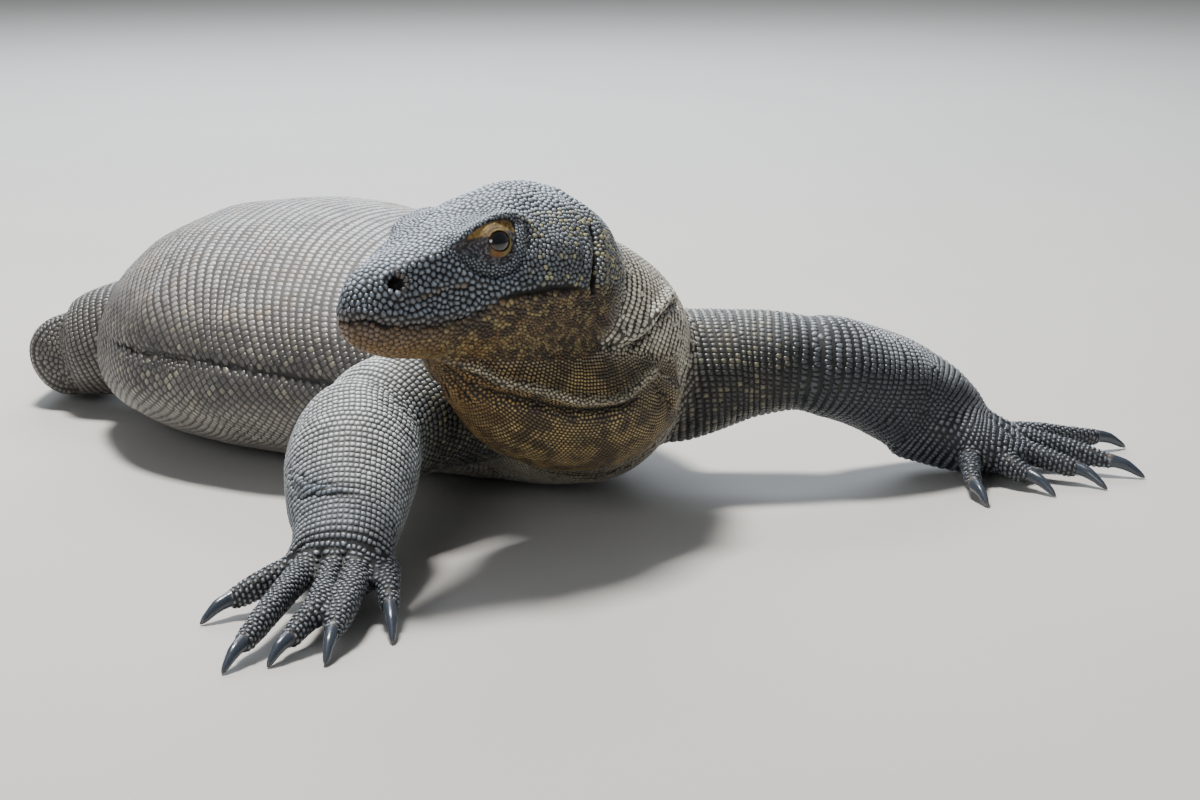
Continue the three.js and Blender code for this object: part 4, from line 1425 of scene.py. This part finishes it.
    # Nostrils: painted shade, black inside the pit, with a brown rim behind.
    local = to_head(rest)
    d = nostril_distance(local)
    # Painted shade inside the nostril pit.
    mix(0x050505, fall(4.5, 6.5, d))
    mix(0x57493C, hump(d, 7.5, 1.6) * fall(169, 174, local[:, 0]) * 0.8)
    return crown * tone[:, None], body * tone[:, None], groove * (0.6 + 0.4 * tone[:, None])


# ---------- materials
KERATIN_IOR, HORN_IOR, CORNEA_IOR = 1.54, 1.56, 1.376


def add(tree, kind, inputs=None, stops=None, **settings):
    """Adds a node with its settings, its socket values and its links, and a colour ramp's stops."""
    node = tree.nodes.new(kind)
    for key, value in settings.items():
        setattr(node, key, value)
    for key, value in (inputs or {}).items():
        if isinstance(value, bpy.types.NodeSocket):
            tree.links.new(value, node.inputs[key])
        else:
            node.inputs[key].default_value = value
    if stops:  # place and linear colour, or place and grey value
        elements = node.color_ramp.elements
        while len(elements) < len(stops):
            elements.new(0.5)
        for element, (place, value) in zip(elements, stops):
            element.position = place
            element.color = (*value, 1) if np.ndim(value) else (value, value, value, 1)
    return node


def new_material(name, inputs):
    """A material that is only a surface with these values: material, tree, surface and object places."""
    made = bpy.data.materials.new(name)
    made.use_nodes = True
    tree = made.node_tree
    tree.nodes.clear()
    surface = add(tree, "ShaderNodeBsdfPrincipled", inputs)
    add(tree, "ShaderNodeOutputMaterial", {"Surface": surface.outputs[0]})
    return made, tree, surface, add(tree, "ShaderNodeTexCoord").outputs["Object"]


def paint(tree, surface, colour, pattern, stops):
    """Gives a surface a colour that is darker and lighter by a pattern."""
    tone = add(tree, "ShaderNodeValToRGB", {"Fac": pattern}, stops)
    colours = {"Factor": 1.0, 6: colour, 7: tone.outputs[0]}
    base = add(tree, "ShaderNodeMix", colours, data_type="RGBA", blend_type="MULTIPLY")
    tree.links.new(base.outputs[2], surface.inputs["Base Color"])


def hide_material(name, rough, bump, gloss_spread):
    """Keratin hide of a lizard, dry and matt, with a dull shine on worn crowns, fine pores and dust."""
    made, tree, surface, place = new_material(name, {"IOR": KERATIN_IOR})
    tint = add(tree, "ShaderNodeAttribute", attribute_name="Tint", attribute_type="GEOMETRY")
    # Grain of the keratin, about 1.1 mm across, and dust in patches of about 14 mm.
    fine = {"Vector": place, "Scale": 900.0, "Detail": 3.0, "Roughness": 0.6}
    grain = add(tree, "ShaderNodeTexNoise", fine).outputs[0]
    dust = add(tree, "ShaderNodeTexNoise", {"Vector": place, "Scale": 70.0, "Detail": 2.0}).outputs[0]
    paint(tree, surface, tint.outputs["Color"], grain, [(0.3, 0.78), (0.7, 1.18)])
    worn = {"Value": dust, "To Min": rough - gloss_spread, "To Max": rough + gloss_spread}
    shine = add(tree, "ShaderNodeMapRange", worn)
    tree.links.new(shine.outputs[0], surface.inputs["Roughness"])
    # Pores and grain 0.4 mm deep.
    relief = add(tree, "ShaderNodeBump", {"Height": grain, "Strength": bump, "Distance": 0.0004})
    tree.links.new(relief.outputs[0], surface.inputs["Normal"])
    return made


def claw_material():
    """Polished keratin horn of a claw: almost black, glossy, with faint growth lines along it."""
    made, tree, surface, place = new_material(
        "horn keratin, worn smooth", {"Roughness": 0.24, "IOR": HORN_IOR}
    )
    tint = add(tree, "ShaderNodeAttribute", attribute_name="Tint", attribute_type="GEOMETRY")
    # Scratches and growth marks about 0.8 mm apart, and 0.3 mm deep so that they show.
    marks = {"Vector": place, "Scale": 1200.0, "Detail": 4.0}
    marks = add(tree, "ShaderNodeTexNoise", marks).outputs[0]
    paint(tree, surface, tint.outputs["Color"], marks, [(0.35, 0.7), (0.7, 1.3)])
    relief = add(tree, "ShaderNodeBump", {"Height": marks, "Strength": 0.25, "Distance": 0.0003})
    tree.links.new(relief.outputs[0], surface.inputs["Normal"])
    return made


def eye_material(iris, rim):
    """Wet eye: black pupil, dark brown iris with an amber rim, under a clear glossy cornea."""
    wet = {"Roughness": 0.06, "IOR": CORNEA_IOR, "Coat Weight": 1.0, "Coat Roughness": 0.03}
    made, tree, surface, place = new_material("wet cornea over a brown iris", wet)
    # Spread is the share of the way round the ball from the middle of the pupil.
    spread = add(tree, "ShaderNodeAttribute", attribute_name="Spread", attribute_type="GEOMETRY")
    pupil = (0.001, 0.001, 0.001)
    stops = [(0.0, pupil), (0.15, pupil), (0.165, iris), (0.20, iris), (0.215, rim)]
    stops += [(0.23, linear(0x140D08)), (1.0, linear(0x0C0806))]
    bands = add(tree, "ShaderNodeValToRGB", {"Fac": spread.outputs["Fac"]}, stops)
    # Streaks of the iris, about 0.6 mm across.
    streaks = add(tree, "ShaderNodeTexNoise", {"Vector": place, "Scale": 1600.0, "Detail": 3.0})
    paint(tree, surface, bands.outputs[0], streaks.outputs[0], [(0.3, 0.6), (0.7, 1.5)])
    return made


def floor_material(colour):
    """Matt painted studio floor: pale, with a barely visible unevenness."""
    made, tree, surface, place = new_material("matt painted studio floor", {"Roughness": 0.85})
    # Clouding about 0.4 m across.
    cloud = add(tree, "ShaderNodeTexNoise", {"Vector": place, "Scale": 2.5, "Detail": 2.0})
    stops = [(0.3, colour * 0.96), (0.7, colour)]
    tone = add(tree, "ShaderNodeValToRGB", {"Fac": cloud.outputs[0]}, stops)
    tree.links.new(tone.outputs[0], surface.inputs["Base Color"])
    return made


# ---------- eyes, lids and claws
def ball(centre, axes, radius, rows, columns):
    """A closed ball round the first axis: points and faces, and each point's share of the way round."""
    out, ahead, up = axes
    polar = np.linspace(0, math.pi, rows + 1)[1:-1]
    turn = np.arange(columns) * 2 * math.pi / columns
    p, t = np.meshgrid(polar, turn, indexing="ij")
    rings = (
        np.cos(p)[..., None] * out
        + (np.sin(p) * np.cos(t))[..., None] * ahead
        + (np.sin(p) * np.sin(t))[..., None] * up
    )
    points, faces = tube_faces(rings.reshape(-1, 3), rows - 1, columns, [out, -out])
    spread = np.concatenate([np.repeat(polar, columns), [0, math.pi]]) / math.pi
    return centre + points * radius, faces, spread


def build_eye(side, material):
    """One eyeball, in its socket."""
    centre, out, ahead, up = eye_axes(side)
    points, faces, spread = ball(centre, (out, ahead, up), EYE_RADIUS, 64, 72)
    # The cornea stands out a little over the iris.
    bulge = 0.7 * hump(spread, 0, 0.2)
    points = points + out * bulge[:, None]
    name = "left" if side > 0 else "right"
    piece = new_object(f"eyeball_{name}", to_model(from_head(points)), faces)
    layer = piece.data.attributes.new("Spread", "FLOAT", "POINT")
    layer.data.foreach_set("value", spread.astype(np.float32))
    piece.data.materials.append(material)
    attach(piece, "root")
    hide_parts(f"eye_{name}")
    return piece


# Opening of the lids: corner reach ahead of and behind the pupil, upper edge and lower edge, in mm.
LID_AHEAD, LID_BEHIND, LID_UPPER, LID_LOWER = 8.4, 8.0, 7.0, 7.2


def lid_edge(turn):
    """Distance from the eye's centre to the edge of the opening, at angles round it."""
    c, s = np.cos(turn), np.sin(turn)
    wide = np.where(c > 0, LID_AHEAD, LID_BEHIND)
    high = np.where(s > 0, LID_UPPER, LID_LOWER)
    return 1 / np.hypot(c / wide, s / high)


def lid_colours(x, y, reach, share, points, settings):
    """Gold above the eye, an amber and cream crescent below it, dusky corners, a dark granular margin, and
    painted shade in the furrow round the upper lid and at the slit against the ball.
    """
    gold, cream, amber = np.array(settings.lid_gold), linear(0x80703C), linear(0x70491F)
    dusk, margin = linear(0x2B2325), linear(0x24262A)
    brown = linear(0x4A3517)
    mottle = step(0.45, 0.55, noise(points, 0.0026, 31) * 0.6 + noise(points, 0.0012, 32) * 0.4)[:, None]
    colour = gold + (brown - gold) * mottle * (0.7 + 0.25 * step(4, 24, x)[:, None])
    lowest = np.interp(x, [-19, -12, -4, 2, 9, 14, 37], [6, 8, 6, 5, 4.5, 3.5, 4.5])
    upper = step(-1.6, 1.6, y - lowest)
    colour = dusk + (colour - dusk) * upper[:, None]
    low = fall(-3, 3, y + 0.25 * x) * fall(5, 10, x) * fall(3.6, 5.0, reach)
    crescent = cream + (amber - cream) * hump(x, 3, 6.0)[:, None]
    colour = colour + (crescent - colour) * low[:, None]
    # Painted shade in the furrow round the upper lid, then its pale rim.
    colour = colour * (1 - 0.4 * hump(reach, 3.2, 2.0) * step(0, 4, y))[:, None]
    rim = hump(reach, 1.3, 0.5) * step(2, 6, y) * fall(9, 14, x)
    colour = colour + (linear(0x8F7638) - colour) * (0.55 * rim)[:, None]
    band = step(6.0, 8.0, reach) * fall(-7, -2, y - 0.05 * x)
    colour = colour + (margin - colour) * band[:, None]
    # Painted shade in the slit where the lids meet the ball.
    colour = colour + (dusk * 0.35 - colour) * hump(reach, 0, 0.7)[:, None]
    edge = step(0.9, 1.0, share)[:, None]
    colour = colour + (margin - colour) * edge
    grit = step(0.52, 0.68, noise(points, 0.0013, 9)) * np.maximum(1 - upper * (1 - low), band) * (1 - low)
    return colour + (linear(0x6F7076) - colour) * (0.7 * grit)[:, None]


# Radius round which the lids wrap the ball, in mm, how far out they follow it, and the points round and
# across them.
LID_SHELL, LID_WRAP = EYE_RADIUS + 1.0, 11.2
LID_TURNS, LID_ROWS = 150, 46


def build_lids(side, material, settings):
    """The bare skin round an eye: lids that wrap the ball, then folded skin out to the brow and cheek."""
    centre, out, ahead, up = eye_axes(side)
    turns, rows = LID_TURNS, LID_ROWS
    turn = np.tile(np.arange(turns) * 2 * math.pi / turns, rows)
    f = np.repeat(np.linspace(0, 1, rows), turns)
    inner, outer = lid_edge(turn), field_reach(turn) * 1.05
    across = inner + (outer - inner) * f**1.25
    x, y = across * np.cos(turn), across * np.sin(turn)
    reach = across - inner
    dome = np.sqrt(np.maximum(LID_SHELL**2 - np.minimum(across, LID_WRAP) ** 2, 0))
    dome = dome - np.maximum(across - LID_WRAP, 0) * 1.49
    # The bed is the skin's own height under each point, found by a ray down the eye's axis.
    bed = np.full(len(x), -30.0)
    start = centre + ahead * x[:, None] + up * y[:, None] + out * 30
    world = to_model(from_head(start))
    toward = Vector((HEAD_TURN @ -out).tolist())
    for i, p in enumerate(world.tolist()):
        hit = Body.tree.ray_cast(Vector(p), toward)
        if hit[0] is not None:
            bed[i] = 30 - hit[3] / MM
    share = across / field_reach(turn)
    bed = bed + 1.7 * fall(0.9, 1.04, share) - 0.5 * step(0.98, 1.04, share)
    top = np.maximum(dome, bed)
    o = top + 1.1 * np.exp(-(np.abs(dome - bed) / 2.2))
    # Fine folds round the eye, a raised rim, a bag below it and the slit against the ball.
    waves = np.sin(reach * 2.3 + 0.7 * np.sin(turn * 3))
    folds = waves * step(1.0, 2.6, reach) * fall(0.75, 0.95, share)
    o = o + 0.26 * folds + 0.45 * hump(reach, 1.3, 0.9)
    o = o + 1.0 * hump(reach, 7.6, 1.5) * fall(-6, -1, y)
    o = o - 1.8 * hump(reach, 0, 0.55)
    points = to_model(from_head(centre + out * o[:, None] + ahead * x[:, None] + up * y[:, None]))
    grain = noise(points, 0.0013, 9) - 0.5
    points = points + (HEAD_TURN @ out) * (grain * 0.9 * MM)[:, None]
    quads = ring_quads(rows, turns)
    if side > 0:
        quads = quads[:, ::-1]
    name = "left" if side > 0 else "right"
    piece = new_object(f"eyelids_{name}", points, quads.tolist())
    put_tint(piece.data, lid_colours(x, y, reach, share, points, settings))
    piece.data.materials.append(material)
    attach(piece, "root")
    return piece


def claw_mesh(line):
    """One claw, curved down to its tip: points, faces, and each point's place along it."""
    middle, last, tip = (np.array(p, float) for p in line[1:])
    along = unit(last - middle)
    high = last + (tip - last) * 0.45 + [0, 0, 2.6]
    control = np.array([last - along * 6, last, high, tip + [0, 0, 0.3]])
    rings, sides = 26, 20
    t = np.linspace(0, 3, rings)
    axis = catmull(control, t)
    ahead = unit(np.gradient(axis, axis=0))
    up = unit(np.array([0, 0, 1.0]) - ahead * ahead[:, 2:3])
    left = np.cross(up, ahead)
    share = np.interp(t, [0, 1, 2, 2.7, 3], [0.9, 1.02, 0.84, 0.45, 0.1])
    turn = np.arange(sides) * 2 * math.pi / sides
    points = []
    for k in range(rings):
        r = CLAW_RADIUS * share[k]
        c, s = np.cos(turn), np.sin(turn)
        side = np.sign(c) * np.abs(c) ** 0.9 * r * 0.84
        deep = np.where(s > 0, s * r * 0.98, s * r * 0.9)
        points.append(axis[k] + left[k] * side[:, None] + up[k] * deep[:, None])
    points = np.vstack(points)
    caps = [axis[0], axis[-1] + ahead[-1] * 0.4]
    points, faces = tube_faces(points, rings, sides, caps)
    return points, faces, np.concatenate([np.repeat(t, sides), [0, 3]])


def build_claws(foot, material, settings):
    """The five claws of a foot as one piece."""
    parts, places = [], []
    for line in digit_lines(foot):
        points, faces, place = claw_mesh(line)
        parts.append((points, faces))
        places.append(place)
    points, faces = joined(parts)
    points = to_model(points)
    points[:, 2] = np.maximum(points[:, 2], CLAW_FLOOR * MM)
    piece = new_object(f"claws_{foot}", points, faces)
    place = np.concatenate(places)
    dark, pale = np.array(settings.claw), np.array(settings.cuticle)
    paleness = fall(0.7, 1.25, place) * 0.8 + step(2.5, 3.0, place) * 0.25
    put_tint(piece.data, dark + (pale - dark) * paleness[:, None])
    piece.data.materials.append(material)
    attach(piece, "root")
    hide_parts(*(f"claw_{foot}_{k}" for k in range(1, 6)))
    return piece


# ---------- settings, operators and panel
FLESH = ["head", "lower_jaw", "neck", "throat", "trunk", "tail_base", "tail_middle", "tail_tip"]
FLESH += [
    f"{part}_{side}"
    for side in ("left", "right")
    for part in ("upper_arm", "forearm", "hand", "thigh", "shank", "foot")
]
# Scale pieces and the kinds of skin each covers.
COATS = {
    "scales_head": ("head",),
    "scales_throat": ("throat",),
    "scales_neck": ("neck",),
    "scales_trunk": ("trunk",),
    "scales_tail": ("tail",),
    "scales_fore_right": ("arm_right", "fore_right"),
    "scales_fore_left": ("arm_left", "fore_left"),
    "scales_hind_right": ("thigh_right", "shank_right", "hind_right"),
    "scales_hind_left": ("thigh_left", "shank_left", "hind_left"),
}


def length(name, description, default):
    """A length in metres, its default given in mm."""
    return FloatProperty(name=name, description=description, default=default * MM, unit="LENGTH")


def swatch(name, description, code):
    """A linear colour, its default given as an sRGB hex value."""
    default = tuple(linear(code).tolist())
    return FloatVectorProperty(
        name=name, description=description, subtype="COLOR", min=0, max=1, default=default
    )


def power(name, description, default):
    """Power of a light, in watts."""
    return FloatProperty(name=name, description=description, default=default, unit="POWER")


class KomodoHideSettings(bpy.types.PropertyGroup):
    """Sizes and colours of the hide."""

    coat_depth: length("Coat depth", "How far the skin lies inside the outline", 2.0)
    skin_voxel: length("Skin mesh", "Spacing of the skin's mesh on the body", 4.0)
    scale_foot: length("Scale foot", "How deep a scale's edge dips into the skin", 0.4)
    scale_rise: FloatProperty(
        name="Scale rise", description="Factor on the height of all scales", default=1.0, min=0.2, max=2.0
    )
    seed: IntProperty(name="Seed", description="Seed of the markings", default=7)


class KomodoHornSettings(bpy.types.PropertyGroup):
    """Colours of the claws, eyes and lids."""

    claw: swatch("Claw", "Horn of the claws", 0x39404A)
    cuticle: swatch("Cuticle", "Root of the claws", 0x6E6558)
    iris: swatch("Iris", "Iris of the eyes", 0x1C0F08)
    iris_rim: swatch("Iris rim", "Rim of the iris", 0x5E3214)
    lid_gold: swatch("Upper lid", "Folds of the upper lid", 0x89703A)


class KomodoStageSettings(bpy.types.PropertyGroup):
    """Floor, lights and camera."""

    floor: swatch("Floor", "Paint of the studio floor", 0xC4C1BB)
    lens: FloatProperty(name="Lens", description="Focal length in mm", default=84.24)
    key: power("Key light", "Power of the key light", 175.0)
    fill: power("Fill light", "Power of the fill light", 25.0)
    sky: power("Sky light", "Power of the cool light behind and above", 126.0)


class KomodoSkin(bpy.types.Operator):
    """Build the one skin of the body and head"""

    bl_idname = "komodo.skin"
    bl_label = "Skin"

    def execute(self, context):
        settings = context.scene.komodo_hide
        piece = build_skin(settings)
        rest = Body.points - Body.moved
        _, _, groove = markings(Body.points, rest, Body.normals, Body.weights, settings.seed)
        put_tint(piece.data, groove)
        material = hide_material("reptile hide, dry folds between the scales", 0.62, 0.5, 0.08)
        piece.data.materials.append(material)
        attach(piece, "root")
        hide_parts(*FLESH)
        return {"FINISHED"}


def scale_tints(lie, settings):
    """Colours, height and furrows of every scale, by name."""
    rest, nearest = at_rest(lie.points)
    weights = Body.weights[nearest]
    crown, body, groove = markings(lie.points, rest, lie.normals, weights, settings.seed)
    rng = np.random.default_rng(5)
    jitter = rng.normal(1, 0.09, (len(lie.points), 1))
    relief = weights @ np.array(RELIEF)
    return {
        "crown": crown * jitter,
        "body": body * jitter,
        "groove": groove,
        "rise": relief[:, 0] * settings.scale_rise * rng.normal(1, 0.08, len(relief)),
        "gap": relief[:, 1],
        "shoulder": relief[:, 2],
        "furrow": weights @ np.array(FURROWS),
    }


# Most triangles in one piece of scales, and the sides of a scale: fewer where scales are small and many.
COAT_TRIANGLES = 190000
SIDES, FINE_SIDES, FINE_COATS = 8, 6, ("scales_head", "scales_throat")


class KomodoScales(bpy.types.Operator):
    """Build the scales that cover the skin"""

    bl_idname = "komodo.scales"
    bl_label = "Scales"

    def execute(self, context):
        settings = context.scene.komodo_hide
        lie = lay_scales()
        shapes = {sides: scale_outlines(lie, sides) for sides in (FINE_SIDES, SIDES)}
        tints = scale_tints(lie, settings)
        material = hide_material("reptile scales, keratin worn on the crowns", 0.31, 0.3, 0.08)
        for name, kinds in COATS.items():
            chosen = np.zeros(len(lie.kind), bool)
            for kind in kinds:
                chosen |= np.char.find(lie.kind, kind) >= 0
            chosen = np.flatnonzero(chosen)
            sides = FINE_SIDES if name in FINE_COATS else SIDES
            parts = max(1, -(-len(chosen) * 3 * sides // COAT_TRIANGLES))
            order = chosen[np.argsort(lie.points[chosen, 0], kind="stable")]
            for k, part in enumerate(np.array_split(order, parts)):
                label = name if parts == 1 else f"{name}_{k + 1}"
                piece = coat_piece(label, lie, part, shapes[sides], tints, settings)
                piece.data.materials.append(material)
                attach(piece, "root")
        return {"FINISHED"}


class KomodoEyes(bpy.types.Operator):
    """Build the two eyeballs"""

    bl_idname = "komodo.eyes"
    bl_label = "Eyes"

    def execute(self, context):
        settings = context.scene.komodo_horn
        material = eye_material(tuple(settings.iris), tuple(settings.iris_rim))
        for side in (1, -1):
            build_eye(side, material)
        return {"FINISHED"}


class KomodoLids(bpy.types.Operator):
    """Build the eyelids round both eyes"""

    bl_idname = "komodo.lids"
    bl_label = "Eyelids"

    def execute(self, context):
        material = hide_material("eyelid skin, soft and finely folded", 0.8, 0.8, 0.06)
        for side in (1, -1):
            build_lids(side, material, context.scene.komodo_horn)
        return {"FINISHED"}


class KomodoClaws(bpy.types.Operator):
    """Build the twenty claws"""

    bl_idname = "komodo.claws"
    bl_label = "Claws"

    def execute(self, context):
        material = claw_material()
        for foot in FEET:
            build_claws(foot, material, context.scene.komodo_horn)
        return {"FINISHED"}


# Soft boxes: place, aim, width and height in metres, and colour.
LIGHTS = {
    "key": ((-0.5, -0.1, 2.9), (0.1, -0.1, 0.1), (0.6, 0.6), (1.0, 0.98, 0.95)),
    "fill": ((1.0, -3.0, 1.3), (0.1, -0.2, 0.1), (1.3, 0.9), (0.92, 0.95, 1.0)),
    "sky": ((-2.0, 2.1, 1.9), (-0.9, 0.95, 0.0), (2.8, 1.8), (0.80, 0.89, 1.0)),
}
AMBIENT, AMBIENT_STRENGTH = (0.80, 0.86, 0.94, 1), 0.22
CAMERA_AT, CAMERA_AIM, SENSOR = (1.6407, -1.8838, 0.6059), (0.201, -0.041, 0.066), 36.0
# Half width of the floor, in metres.
FLOOR_HALF = 14.0


def aim(piece, place, target):
    """Puts a light or camera in its place, looking at a target."""
    piece.location = place
    piece.rotation_euler = (Vector(target) - Vector(place)).to_track_quat("-Z", "Y").to_euler()


class KomodoStage(bpy.types.Operator):
    """Set the floor, the lights and the camera"""

    bl_idname = "komodo.stage"
    bl_label = "Stage"

    def execute(self, context):
        scene, settings = context.scene, context.scene.komodo_stage
        corners = [(x * FLOOR_HALF, y * FLOOR_HALF, 0) for x, y in ((-1, -1), (1, -1), (1, 1), (-1, 1))]
        floor = new_object("studio_floor", corners, [(0, 1, 2, 3)], smooth=False)
        floor.data.materials.append(floor_material(np.array(settings.floor)))
        for name, (place, target, size, colour) in LIGHTS.items():
            lamp = bpy.data.lights.new(name, "AREA")
            lamp.shape = "RECTANGLE"
            lamp.size, lamp.size_y = size
            lamp.energy = getattr(settings, name)
            lamp.color = colour
            aim(in_scene(name, lamp), place, target)
        world = bpy.data.worlds.new("soft studio")
        world.use_nodes = True
        ambient = world.node_tree.nodes["Background"]
        ambient.inputs["Color"].default_value = AMBIENT
        ambient.inputs["Strength"].default_value = AMBIENT_STRENGTH
        scene.world = world
        lens = bpy.data.cameras.new("camera")
        lens.lens = settings.lens
        lens.sensor_width = SENSOR
        lens.dof.use_dof = False
        lens.clip_start, lens.clip_end = 0.05, 60
        scene.camera = in_scene("camera", lens)
        aim(scene.camera, CAMERA_AT, CAMERA_AIM)
        return {"FINISHED"}


OPERATORS = (KomodoSkin, KomodoScales, KomodoEyes, KomodoLids, KomodoClaws, KomodoStage)


class KomodoPanel(bpy.types.Panel):
    """Buttons for each piece of the model"""

    bl_idname = "VIEW3D_PT_komodo"
    bl_label = "Komodo dragon"
    bl_space_type = "VIEW_3D"
    bl_region_type = "UI"
    bl_category = "Komodo"

    def draw(self, context):
        scene = context.scene
        for group in (scene.komodo_hide, scene.komodo_horn, scene.komodo_stage):
            box = self.layout.box()
            for key in group.__annotations__:
                box.prop(group, key)
        for operator in OPERATORS:
            self.layout.operator(operator.bl_idname)


GROUPS = {
    "komodo_hide": KomodoHideSettings,
    "komodo_horn": KomodoHornSettings,
    "komodo_stage": KomodoStageSettings,
}


def register():
    """Adds the settings, operators and panel."""
    for group in GROUPS.values():
        bpy.utils.register_class(group)
    for made in (*OPERATORS, KomodoPanel):
        bpy.utils.register_class(made)
    for name, group in GROUPS.items():
        setattr(bpy.types.Scene, name, PointerProperty(type=group))


def unregister():
    """Takes them out again."""
    for name in GROUPS:
        delattr(bpy.types.Scene, name)
    for made in (KomodoPanel, *reversed(OPERATORS), *GROUPS.values()):
        bpy.utils.unregister_class(made)


def main():
    """Builds every piece."""
    register()
    bpy.ops.komodo.skin()
    bpy.ops.komodo.scales()
    bpy.ops.komodo.eyes()
    bpy.ops.komodo.lids()
    bpy.ops.komodo.claws()
    bpy.ops.komodo.stage()


if __name__ == "__main__":
    main()
